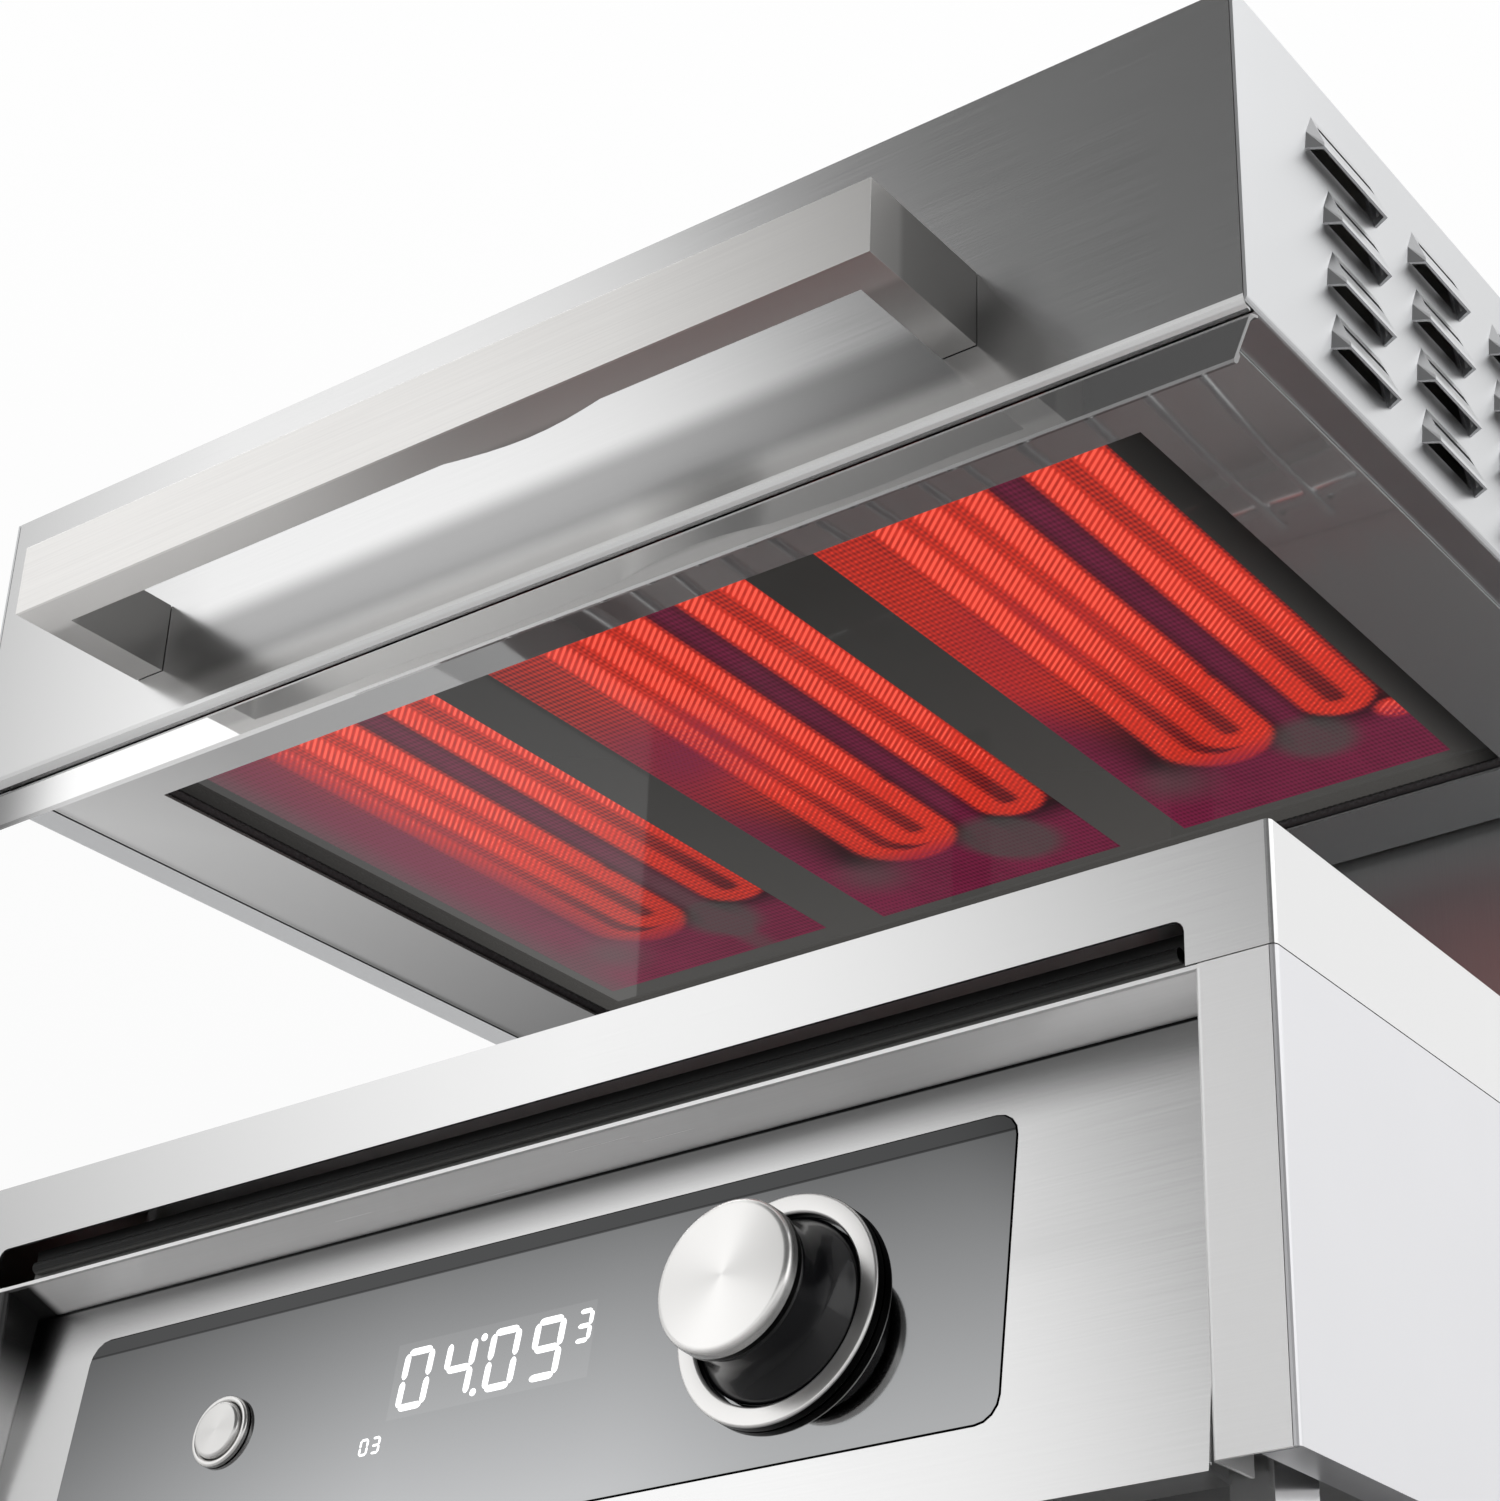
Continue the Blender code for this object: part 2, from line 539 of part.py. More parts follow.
# ---------------------------------------------------------------- hood
def louvre_hull(s, y0, y1, z0):
    """Outer skin of one pressed louvre on the side s."""
    x_in, x_out = s * (HOOD_HALF_W - 0.7), s * (HOOD_HALF_W + 6.0)
    return [(x_in, y0, z0), (x_in, y0 + 1.6, z0 + 9.0), (x_in, y0 + 6.5, z0 + 19.5),
            (x_in, y1 - 6.5, z0 + 19.5), (x_in, y1 - 1.6, z0 + 9.0), (x_in, y1, z0),
            (x_out, y0 + 3.4, z0), (x_out - s * 0.3, y0 + 4.0, z0 + 2.2),
            (x_out - s * 0.3, y1 - 4.0, z0 + 2.2), (x_out, y1 - 3.4, z0)]


def louvre_cavity(s, y0, y1, z0):
    """Hollow under one louvre, open downwards."""
    x_in, x_out = s * (HOOD_HALF_W - 0.2), s * (HOOD_HALF_W + 5.0)
    return [(x_in, y0 + 1.3, z0 - 0.5), (x_in, y0 + 7.4, z0 + 17.2),
            (x_in, y1 - 7.4, z0 + 17.2), (x_in, y1 - 1.3, z0 - 0.5),
            (x_out, y0 + 4.5, z0 - 0.5), (x_out, y0 + 4.8, z0 + 1.2),
            (x_out, y1 - 4.8, z0 + 1.2), (x_out, y1 - 4.5, z0 - 0.5)]


def louvre_places():
    """Start and end of every louvre; the first of the top row is longer."""
    for col, y0 in enumerate(LOUVRE_Y):
        for row, z0 in enumerate(LOUVRE_Z):
            start = y0 - 10.0 if (col, row) == (0, 3) else y0
            yield start, y0 + LOUVRE_LEN, z0


def build_hood_shell(mats):
    steel = mats["steel"]
    w, y0, y1 = HOOD_HALF_W, HOOD_FRONT, HOOD_BACK
    bend = 4.4
    outer = [(y0 + bend - bend * cos(radians(a)), 384.4 + bend - bend * sin(radians(a)))
             for a in (0, 22.5, 45, 67.5, 90)]
    inner = [(y0 + bend - (bend - SHEET) * cos(radians(a)),
              384.4 + bend - (bend - SHEET) * sin(radians(a))) for a in (90, 67.5, 45, 22.5, 0)]
    outline = [(y0 + 13.0, HOOD_TOP), (y0, HOOD_TOP)] + outer + inner
    outline += [(y0 + SHEET, HOOD_TOP - SHEET), (y0 + 13.0, HOOD_TOP - SHEET)]
    prism_part("hood_front", steel, outline, "x", -w + SHEET + GAP, w - SHEET - GAP)

    section = [(w - 15.2, HOOD_SIDE_Z)]
    section += arc(w - FOLD, HOOD_SIDE_Z + FOLD, FOLD, 270, 360)
    section += [(w, HOOD_TOP), (w - SHEET, HOOD_TOP)]
    section += arc(w - FOLD, HOOD_SIDE_Z + FOLD, FOLD - SHEET, 360, 270)
    section += [(w - 15.2, HOOD_SIDE_Z + SHEET)]
    for side, s in (("left", -1), ("right", 1)):
        panel = prism_part("hood_side_" + side, mats["satin_white_steel"],
                           mirrored(section, s), "y", y0, y1)
        cut(panel, lambda bm: add_box(bm, s * (w - 8.6) - 7.3, s * (w - 8.6) + 7.3, y0 - 1.0,
                                      y0 + 7.0, HOOD_SIDE_Z - 1.0, HOOD_SIDE_Z + 3.0))

        def skins(bm):
            for a, b, z in louvre_places():
                add_hull(bm, louvre_hull(s, a, b, z))

        def cavities(bm):
            for a, b, z in louvre_places():
                add_hull(bm, louvre_cavity(s, a, b, z))

        def slits(bm):
            low, high = LOUVRE_SLIT_Z
            for a, b, z in louvre_places():
                add_prism(bm, [(a + 3.2, z + low), (b - 3.2, z + low), (b - 7.2, z + high),
                               (a + 7.2, z + high)], "x", s * w - 3.0, s * w + 3.0)

        join(panel, skins)
        cut(panel, cavities)
        cut(panel, slits)

    box_part("hood_top", steel, -w + 1.5, w - 1.5, y0 + 13.3, y1, HOOD_TOP - SHEET, HOOD_TOP)
    back = box_part("hood_back", mats["galvanised"], -w + 1.5, w - 1.5, y1 - 1.4, y1 - 0.2,
                    HOOD_SIDE_Z + 1.5, HOOD_TOP - 1.5)
    for s in (-1, 1):
        cut(back, lambda bm: add_box(bm, s * GUIDE_X - 10.5, s * GUIDE_X + 10.5, y1 - 5,
                                     y1 + 5, 397.0, 465.0))

    plate = box_part("hood_underplate", mats["polished_steel"], -w + 18.2, w - 15.4,
                     -12.0, 346.0, HOOD_BOTTOM, HOOD_BOTTOM + SHEET)
    lip = [(-20.9, LIP_Z + 0.8), (-20.9, 380.4), (-20.1, 381.9), (-17.6, 383.0),
           (-13.9, 384.3), (-11.0, HOOD_BOTTOM + SHEET - 0.2), (-11.0, HOOD_BOTTOM + 0.1),
           (-14.6, 383.1), (-18.0, 381.6), (-18.9, 380.6), (-19.5, 379.4),
           (-19.5, LIP_Z + 3.4), (-18.2, LIP_Z + 2.8), (-18.2, LIP_Z + 0.8),
           (-19.0, LIP_Z), (-20.1, LIP_Z)]
    join(plate, lambda bm: add_prism(bm, lip, "x", -w + 0.2, w - 0.2))
    for s, clear in ((-1, 18.0), (1, 15.6)):
        x0, x1 = sorted((s * (w - clear), s * (w + 0.4)))
        cut(plate, lambda bm: add_prism(
            bm, [(s * w + s, LIP_Z - 1.0), (s * (w - 7.5), LIP_Z - 1.0), (s * (w - 0.2), 381.5),
                 (s * (w + 1.0), 381.5)], "y", -24.0, -10.0))
        cut(plate, lambda bm: add_box(bm, x0, x1, -15.6, -8.0, 380.0, 388.0))
    cut(plate, lambda bm: add_box(bm, -OPEN_X, OPEN_X, OPEN_Y0, OPEN_Y1, 380.0, 390.0))


def build_heating(mats):
    box_part("ceramic_glass", mats["black_ceramic_glass"], -246.0, 246.0, -8.0, 319.0,
             GLASS_Z, GLASS_Z + GLASS_THICK)

    bm = bmesh.new()
    mid_x, mid_y = 236.9, 0.5 * (OPEN_Y0 + OPEN_Y1)
    half_y = 0.5 * (OPEN_Y1 - OPEN_Y0) + 2.7
    section = [(5.2, -1.2), (5.2, 1.2), (3.6, 2.35), (-3.6, 2.35), (-5.2, 1.2), (-5.2, -1.2),
               (-3.6, -2.35), (3.6, -2.35)]
    corner = 9.0
    path = []
    for sx, sy, start in ((1, -1, -90), (1, 1, 0), (-1, 1, 90), (-1, -1, 180)):
        for i in range(5):
            a = radians(start + 22.5 * i)
            path.append((sx * (mid_x - corner), mid_y + sy * (half_y - corner), cos(a), sin(a)))
    rings = [[bm.verts.new(to_world(cx + (corner + d) * ca, cy + (corner + d) * sa, SEAL_Z + h))
              for d, h in section] for cx, cy, ca, sa in path]
    for i, first in enumerate(rings):
        second = rings[(i + 1) % len(rings)]
        for j in range(8):
            k = (j + 1) % 8
            bm.faces.new((first[j], second[j], second[k], first[k]))
    finish("rope_seal", bm, mats["rope"])

    for name, cx in zip(ZONE_NAMES, ZONE_X):
        tray = box_part("heater_tray_" + name, mats["insulation"], cx - 64.5, cx + 64.5,
                        ZONE_Y0 - 3.5, ZONE_Y1 + 3.5, GLASS_Z + GLASS_THICK + GAP, 419.0)
        cut(tray, lambda bm: add_box(bm, cx - 60.5, cx + 60.5, ZONE_Y0 + 1.0, ZONE_Y1 - 1.0,
                                     394.0, 403.6))
        cut(tray, lambda bm: add_box(bm, cx + LIMITER_X - 3.0, cx + LIMITER_X + 3.0,
                                     ZONE_Y1 - 6.0, ZONE_Y1 + 6.0, 394.0, 399.4))
        coil_outline = serpentine(cx, STRANDS, ZONE_Y0 + 18.0, ZONE_Y1 - 38.0, 5.0)
        prism_part("heater_coil_" + name, mats["glowing_coil"], coil_outline, "z",
                   400.0, 403.3)
        rod = [(0.0, 6.0), (1.5, 6.0), (1.5, 298.0), (0.0, 298.0)]
        limiter = revolve_part("limiter_" + name, mats["ceramic"], rod, 8,
                               y_axis(cx + LIMITER_X, 397.4))
        join(limiter, lambda bm: add_box(bm, cx + LIMITER_X - 9.0, cx + LIMITER_X + 9.0, 297.0, 318.0,
                                       395.5, 411.0))


def serpentine(cx, strands, y0, y1, width):
    """Outline of a flat ribbon that runs back and forth along the given strand offsets."""
    centre = []
    for i, x in enumerate(strands):
        ends = (y0, y1) if i % 2 == 0 else (y1, y0)
        centre.append((cx + x, ends[0]))
        if i + 1 == len(strands):
            centre.append((cx + x, ends[1]))
            break
        centre.append((cx + x, ends[1]))
        radius = 0.5 * (strands[i + 1] - x)
        sign = 1.0 if i % 2 == 0 else -1.0
        for a in (30, 60, 90, 120, 150):
            centre.append((cx + x + radius - radius * cos(radians(a)),
                           ends[1] + sign * radius * sin(radians(a))))
    left, right = [], []
    for i, (x, y) in enumerate(centre):
        px, py = centre[max(i - 1, 0)]
        nx, ny = centre[min(i + 1, len(centre) - 1)]
        direction = Vector((nx - px, ny - py)).normalized()
        left.append((x - direction.y * width * 0.5, y + direction.x * width * 0.5))
        right.append((x + direction.y * width * 0.5, y - direction.x * width * 0.5))
    return left + list(reversed(right))


def build_handle(mats):
    x0, x1, leg = HANDLE_X0, HANDLE_X1, HANDLE_LEG
    y0 = HOOD_FRONT - HANDLE_REACH
    y1, wall = y0 + HANDLE_THICK, HOOD_FRONT - GAP
    swell_x0, swell_x1, swell = PALM_SWELL
    outline = [(x0, wall), (x0, y0), (x1, y0), (x1, wall), (x1 - leg, wall), (x1 - leg, y1)]
    for i in range(9):
        t = 1.0 - i / 8.0
        outline.append((swell_x0 + (swell_x1 - swell_x0) * t, y1 + swell * sin(pi * t)))
    outline += [(x0 + leg, y1), (x0 + leg, wall)]
    prism_part("handle", mats["brushed_bar"], outline, "z", HANDLE_Z0, HANDLE_Z1)


def build_carriage(mats):
    """Slides on the guide rods; its two arms pass through the column's slots to the hood."""
    carriage = box_part("carriage", mats["galvanised"], -110.0, 110.0, 341.6, 346.2,
                        392.0, 470.0)
    for s in (-1, 1):
        x = s * GUIDE_X
        join(carriage, lambda bm: add_box(bm, x - 8.0, x + 8.0, 345.0, 400.0, 400.0, 462.0))
        join(carriage, lambda bm: add_box(bm, x - 14.5, x + 14.5, 395.0, 425.0, 401.0, 461.0))
    join(carriage, lambda bm: add_box(bm, -165.0, 165.0, 402.0, 418.0, 440.0, 456.0))
    for s in (-1, 1):
        cut(carriage, lambda bm: add_prism(bm, circle(s * GUIDE_X, GUIDE_Y, GUIDE_R + 0.2, 24),
                                           "z", 390.0, 475.0))
    for side, s in (("left", -1), ("right", 1)):
        revolve_part("strut_rod_" + side, mats["bright_steel"],
                     [(0.0, 172.0), (4.0, 172.0), (4.0, 439.7), (0.0, 439.7)], 16,
                     z_axis(s * STRUT_X, GUIDE_Y))


def main():
    clear_scene()
    mats = {
        "steel": material("brushed_steel", (0.62, 0.62, 0.63), 1.0, 0.32),
        "dark_steel": material("dark_steel", (0.30, 0.31, 0.32), 1.0, 0.38),
        "polished_steel": material("polished_steel", (0.60, 0.60, 0.61), 1.0, 0.14),
        "bright_steel": material("bright_steel", (0.78, 0.77, 0.75), 1.0, 0.22),
        "satin_white_steel": material("satin_steel", (0.80, 0.81, 0.83), 1.0, 0.40),
        "brushed_bar": material("brushed_bar", (0.62, 0.61, 0.60), 1.0, 0.35),
        "galvanised": material("galvanised_steel", (0.50, 0.52, 0.54), 1.0, 0.50),
        "chrome": material("chrome_wire", (0.85, 0.85, 0.86), 1.0, 0.08),
        "enamel": material("black_enamel", (0.015, 0.015, 0.016), 0.0, 0.30),
        "dark_glass": material("control_glass", (0.05, 0.055, 0.06), 0.0, 0.12),
        "black_ceramic_glass": material("ceramic_glass", (0.02, 0.02, 0.02), 0.0, 0.08),
        "rope": material("seal_rope", (0.015, 0.015, 0.015), 0.0, 0.85),
        "glowing_coil": material("heater_ribbon", (0.9, 0.12, 0.05), 0.0, 0.6, (1.0, 0.15, 0.05)),
        "insulation": material("heater_insulation", (0.75, 0.73, 0.68), 0.0, 0.9),
        "ceramic": material("limiter_ceramic", (0.82, 0.80, 0.76), 0.0, 0.5),
        "gloss_black": material("gloss_black", (0.01, 0.01, 0.01), 0.0, 0.10),
        "black_plastic": material("black_plastic", (0.03, 0.03, 0.03), 0.0, 0.5),
        "white_plastic": material("white_plastic", (0.80, 0.80, 0.78), 0.0, 0.5),
        "circuit": material("circuit_board", (0.03, 0.18, 0.09), 0.0, 0.5),
    }
    build_base_panels(mats)
    build_front(mats)
    build_top_cover(mats)
    build_tray_deck(mats)
    build_electrics(mats)
    build_feet(mats)
    build_controls(mats)
    build_tray_and_rack(mats)
    build_column(mats)
    build_hood_shell(mats)
    build_heating(mats)
    build_handle(mats)
    build_carriage(mats)


main()
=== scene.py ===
"""Looks of the lift-type infrared salamander grill: materials, fine pieces, light and camera.
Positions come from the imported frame, in metres; patterns are drawn in millimetres."""
import json
from math import cos, pi, radians, sin

import bmesh
import bpy
from mathutils import Matrix, Vector


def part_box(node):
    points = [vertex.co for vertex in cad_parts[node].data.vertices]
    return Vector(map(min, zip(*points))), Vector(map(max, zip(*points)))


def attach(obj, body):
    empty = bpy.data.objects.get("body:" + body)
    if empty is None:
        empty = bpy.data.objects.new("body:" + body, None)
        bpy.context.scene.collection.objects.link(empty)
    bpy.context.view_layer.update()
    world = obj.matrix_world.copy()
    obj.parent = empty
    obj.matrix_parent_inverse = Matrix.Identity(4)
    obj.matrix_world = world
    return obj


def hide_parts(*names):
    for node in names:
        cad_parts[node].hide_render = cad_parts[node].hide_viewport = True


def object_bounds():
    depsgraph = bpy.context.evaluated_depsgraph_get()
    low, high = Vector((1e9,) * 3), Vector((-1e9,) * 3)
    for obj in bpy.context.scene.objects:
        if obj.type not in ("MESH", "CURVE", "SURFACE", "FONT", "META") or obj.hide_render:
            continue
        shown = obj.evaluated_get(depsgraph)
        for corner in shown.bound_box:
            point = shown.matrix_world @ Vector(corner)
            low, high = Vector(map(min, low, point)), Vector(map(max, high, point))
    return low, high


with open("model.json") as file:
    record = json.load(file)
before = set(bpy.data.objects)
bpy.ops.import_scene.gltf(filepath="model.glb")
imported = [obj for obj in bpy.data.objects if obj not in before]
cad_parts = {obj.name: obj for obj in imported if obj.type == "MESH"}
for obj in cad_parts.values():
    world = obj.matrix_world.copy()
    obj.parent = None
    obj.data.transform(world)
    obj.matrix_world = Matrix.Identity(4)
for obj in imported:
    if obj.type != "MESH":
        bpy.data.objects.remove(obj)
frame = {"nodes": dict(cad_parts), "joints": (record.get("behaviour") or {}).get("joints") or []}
cad_low, cad_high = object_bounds()
NODES = frame["nodes"]
JOINTS = {joint["name"]: joint for joint in frame["joints"]}
MM = 0.001

# Heating zones, in millimetres from the middle of a zone (u) and from the cover's front (v).
ZONES = ("left", "middle", "right")
RIBBON_SHIFT = {"left": 8.0, "middle": 2.0, "right": 0.0}    # of the glow under each screen
SCREEN_HALF_W = 62.4
SCREEN_REAR = {"left": 285.5, "middle": 290.5, "right": 291.5}
DOT_PITCH, RIB_PITCH = 3.2, 2.5
TURNS = ((-3.3, 9.8, 227.0), (-12.5, 19.0, 229.0), (44.4, 10.2, 226.0))  # centre, radius, start
STRAND_HALF_W = (3.4, 8.2)       # full glow, no glow

# Painted shade on the sheets, in millimetres of the frame.
HANDLE_SHADOW_X = (-196.0, -170.0, 186.0, 218.0)        # painted shadow behind the handle bar: fade in, fade out
HANDLE_SHADOW_Z = (394.0, 404.0, 419.0, 433.0)
HANDLE_SHADOW_ENDS = (((206.0, 420.0), 22.0, 0.5), ((-186.0, 421.0), 18.0, 0.6))  # round ends of the painted shadow: centre, radius, share
SHADE_PATCH_Z = (120.0, 155.0)                         # foot and full dark of the painted shade patch at the left

# Control panel, in millimetres.
WINDOW_CENTRE, WINDOW_HALF = (-18.0, 104.8), (43.5, 13.2)        # x and z of the display window
STRIP_HEIGHT = 6.0
FIGURE_X, FIGURE_Z, FIGURE_PITCH = -58.9, 93.4, 19.25
SMALL_X, SMALL_Z, SMALL_PITCH = -72.0, 80.2, 5.4

# Rope and rack, in millimetres.
ROPE_HALF_W, ROPE_HALF_H, ROPE_CORNER, ROPE_SIDES = 5.1, 2.3, 9.0, 12
BRAID_PITCH = 5.2                # in steps of about a millimetre
ROD_RADIUS, ROD_COUNT, ROD_PITCH, FIRST_ROD_X = 2.5, 14, 28.0, -182.0
CROSS_ROD_PITCH, CROSS_ROD_DROP = 133.0, 4.4

# Stage and camera: metres and degrees.
FLOOR_RADIUS = 6.0
CAMERA_AT = (0.67076, -0.92276, -0.20578)
CAMERA_YAW, CAMERA_PITCH, CAMERA_ROLL = 33.058, 28.211, -0.4635


# ---------------------------------------------------------------- shader helpers
class Field:
    """A number that varies over a surface; arithmetic on it adds math nodes."""

    def __init__(self, tree, socket):
        self.tree = tree
        self.socket = socket

    def op(self, operation, *others):
        node = self.tree.nodes.new("ShaderNodeMath")
        node.operation = operation
        for slot, value in zip(node.inputs, (self, *others)):
            if isinstance(value, Field):
                self.tree.links.new(value.socket, slot)
            else:
                slot.default_value = value
        return Field(self.tree, node.outputs[0])

    def __add__(self, other):
        return self.op("ADD", other)

    def __sub__(self, other):
        return self.op("SUBTRACT", other)

    def __mul__(self, other):
        return self.op("MULTIPLY", other)

    def inverse(self):
        return (self * -1.0) + 1.0

    def high(self, other):
        return self.op("MAXIMUM", other)

    def low(self, other):
        return self.op("MINIMUM", other)

    def size(self):
        return self.op("ABSOLUTE")

    def wave(self, pitch):
        """Between -1 and 1, once every pitch."""
        return (self * (2.0 * pi / pitch)).op("SINE")

    def ramp(self, start, end, low=0.0, high=1.0, soft=True):
        """Goes from low to high while the number goes from start to end."""
        node = self.tree.nodes.new("ShaderNodeMapRange")
        node.interpolation_type = "SMOOTHSTEP" if soft else "LINEAR"
        self.tree.links.new(self.socket, node.inputs["Value"])
        for name, value in zip(("From Min", "From Max", "To Min", "To Max"),
                               (start, end, low, high)):
            node.inputs[name].default_value = value
        return Field(self.tree, node.outputs["Result"])

    def length(self, other):
        return (self * self + other * other).op("SQRT")

    def spot(self, other, centre, radius):
        """1 at a centre in the plane of two fields, fading to 0 at the radius."""
        return (self - centre[0]).length(other - centre[1]).ramp(0.0, radius, 1.0, 0.0)


class Surface:
    """One Principled material with the few nodes that drive it."""

    def __init__(self, name, colour, metallic, roughness, **constants):
        self.material = bpy.data.materials.new(name)
        self.material.use_nodes = True
        self.tree = self.material.node_tree
        self.shader = self.tree.nodes["Principled BSDF"]
        self.shader.inputs["Base Color"].default_value = (*colour, 1.0)
        self.shader.inputs["Metallic"].default_value = metallic
        self.shader.inputs["Roughness"].default_value = roughness
        self.material.diffuse_color = (*colour, 1.0)
        self.material.metallic = metallic
        self.material.roughness = roughness
        for key, value in constants.items():
            self.shader.inputs[key.replace("_", " ")].default_value = value

    def new(self, kind, **settings):
        node = self.tree.nodes.new(kind)
        for key, value in settings.items():
            setattr(node, key, value)
        return node

    def place(self):
        """Object coordinates: metres in the frame, carried along by the piece."""
        return self.new("ShaderNodeTexCoord").outputs["Object"]

    def axes(self):
        """Object coordinates in millimetres as three fields."""
        split = self.new("ShaderNodeSeparateXYZ")
        self.tree.links.new(self.place(), split.inputs[0])
        return [Field(self.tree, out) * 1000.0 for out in split.outputs]

    def noise(self, scale, stretch=(1.0, 1.0, 1.0), detail=2.0, rotate=(0.0, 0.0, 0.0)):
        """Noise with so many features per metre, times the stretch along each axis."""
        mapping = self.new("ShaderNodeMapping")
        mapping.inputs["Scale"].default_value = stretch
        mapping.inputs["Rotation"].default_value = rotate
        self.tree.links.new(self.place(), mapping.inputs["Vector"])
        noise = self.new("ShaderNodeTexNoise")
        noise.inputs["Scale"].default_value = scale
        noise.inputs["Detail"].default_value = detail
        self.tree.links.new(mapping.outputs[0], noise.inputs["Vector"])
        return Field(self.tree, noise.outputs["Fac"])

    def mix(self, amount, first, second):
        """Colour between two colours, each a tuple or a socket."""
        node = self.new("ShaderNodeMix", data_type="RGBA")
        self.tree.links.new(amount.socket, node.inputs["Factor"])
        for slot, value in ((node.inputs[6], first), (node.inputs[7], second)):
            if isinstance(value, tuple):
                slot.default_value = (*value, 1.0)
            else:
                self.tree.links.new(value, slot)
        return node.outputs[2]

    def drive(self, name, value):
        socket = value.socket if isinstance(value, Field) else value
        self.tree.links.new(socket, self.shader.inputs[name])

    def bump(self, height, strength, distance):
        node = self.new("ShaderNodeBump")
        node.inputs["Strength"].default_value = strength
        node.inputs["Distance"].default_value = distance
        self.tree.links.new(height.socket, node.inputs["Height"])
        self.tree.links.new(node.outputs[0], self.shader.inputs["Normal"])

    def turned(self, axis, rotation):
        """Brushing that runs round an axis; a quarter turn spreads light across it."""
        node = self.new("ShaderNodeTangent", direction_type="RADIAL", axis=axis)
        self.tree.links.new(node.outputs[0], self.shader.inputs["Tangent"])
        self.shader.inputs["Anisotropic Rotation"].default_value = rotation


def tone(grey, tint=(1.0, 1.0, 1.0)):
    return tuple(grey * t for t in tint)


# ---------------------------------------------------------------- materials
def brushed_steel(name, grey, roughness, grain=(0.012, 1.0, 1.0), spread=0.35, streak=0.05,
                  tint=(1.0, 1.0, 1.0), smudge=0.02, bump=0.10, shade=None, metallic=1.0,
                  handle_shadow=None, end=None, lean=None, back=None):
    """Sheet or bar with a straight grain: long fine streaks in tone, gloss and height.
    Masks that paint shade into the tone: shade = (clean height, dull height, share of the tone
    left there), painted shade under the sill, black above that; hollow = share left in the
    painted shadow behind the handle bar; end = (clean x, dark x, top) of the painted shade patch
    at the left end; lean = (clean x, dull x, share left there), painted shade towards one end;
    back = pairs of depth and share left, painted shade on the faces behind the bar's front."""
    steel = Surface(name, tone(grey, tint), metallic, roughness, Anisotropic=spread)
    level = steel.noise(1500.0, grain, detail=1.0)
    cloud = steel.noise(9.0, detail=2.0)
    colour = steel.mix(level, tone(grey * (1.0 - streak), tint), tone(grey * (1.0 + streak), tint))
    # painted shadow of the handle bar on the sheet behind it
    if handle_shadow:
        x, _, z = steel.axes()
        band = z.ramp(*HANDLE_SHADOW_Z[:2]) * z.ramp(*HANDLE_SHADOW_Z[2:], 1.0, 0.0)
        band = band * x.ramp(*HANDLE_SHADOW_X[:2]) * x.ramp(*HANDLE_SHADOW_X[2:], 1.0, 0.0)
        for centre, radius, share in HANDLE_SHADOW_ENDS:
            band = band + x.spot(z, centre, radius) * share
        colour = steel.mix(band.low(1.0), colour, tone(grey * handle_shadow, tint))
    # painted shade towards one end of the part
    if lean:
        shade_start, shade_full, left = lean
        x = steel.axes()[0]
        colour = steel.mix(x.ramp(shade_start, shade_full, soft=False), colour, tone(grey * left, tint))
    # painted shade under the sill, fading downwards, then black above that
    if shade:
        shade_start, shade_full, left = shade
        height = steel.axes()[2]
        colour = steel.mix(height.ramp(shade_start, shade_full), colour, tone(grey * left, tint))
        colour = steel.mix(height.ramp(shade_full, shade_full + 0.4), colour, tone(0.006))
    # painted shade on the faces behind the front of the handle bar, deeper further back
    if back:
        behind = steel.axes()[1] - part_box("handle")[0].y / MM
        for depth, left in back:
            colour = steel.mix(behind.ramp(depth, depth * 1.3), colour, tone(grey * left, tint))
    # painted shade patch at the left end, fading out below
    if end:
        x, _, z = steel.axes()
        shade_start, dark, top = end
        dim = x.ramp(shade_start, dark) * z.ramp(top, top + 0.6, 1.0, 0.0) * z.ramp(*SHADE_PATCH_Z)
        colour = steel.mix(dim, colour, tone(0.02))
    steel.drive("Base Color", colour)
    steel.drive("Roughness", level * 0.04 + (cloud - 0.5) * smudge + (roughness - 0.02))
    steel.bump(level, bump, 0.00005)
    steel.turned("Z", 0.25)
    return steel.material


def polished_plate(name, front_grey, rear_grey, roughness, wave):
    """Mirror-like sheet, slightly wavy, darker towards the rear and the middle; its front lip has
    painted light and shade along its length.
    """
    plate = Surface(name, tone(front_grey), 0.75, roughness)
    x, y, _ = plate.axes()
    rear = y.ramp(-205.0, 90.0, soft=False)
    flank = x.ramp(-300.0, -180.0, 0.0, 0.5, soft=False)
    far = plate.mix(x.ramp(-230.0, 180.0), tone(0.5 * rear_grey),
                    tone(1.5 * rear_grey, (0.95, 1.0, 1.01)))
    streaks = plate.noise(1200.0, (0.03, 1.0, 1.0), detail=1.0)
    ripple = plate.noise(13.0, (1.0, 0.5, 1.0), detail=0.0)
    # painted light and shade along the front lip: light at the left, shaded towards the right and
    # at the far left end
    lip = plate.mix(x.ramp(-90.0, 240.0, soft=False), tone(0.85), tone(0.30))
    lip = plate.mix(x.ramp(-235.0, -288.0), lip, tone(0.18))
    sheet = plate.mix(rear.high(flank), tone(front_grey), far)
    sheet = plate.mix(x.ramp(-277.0, -281.0) * y.ramp(-80.0, 20.0, 0.28, 0.75), sheet, tone(0.04))
    plate.drive("Base Color", plate.mix(y.ramp(-213.0, -216.0), sheet, lip))
    plate.drive("Roughness", streaks * 0.02 + (roughness - 0.01))
    plate.bump(ripple, wave, 0.004)
    return plate.material


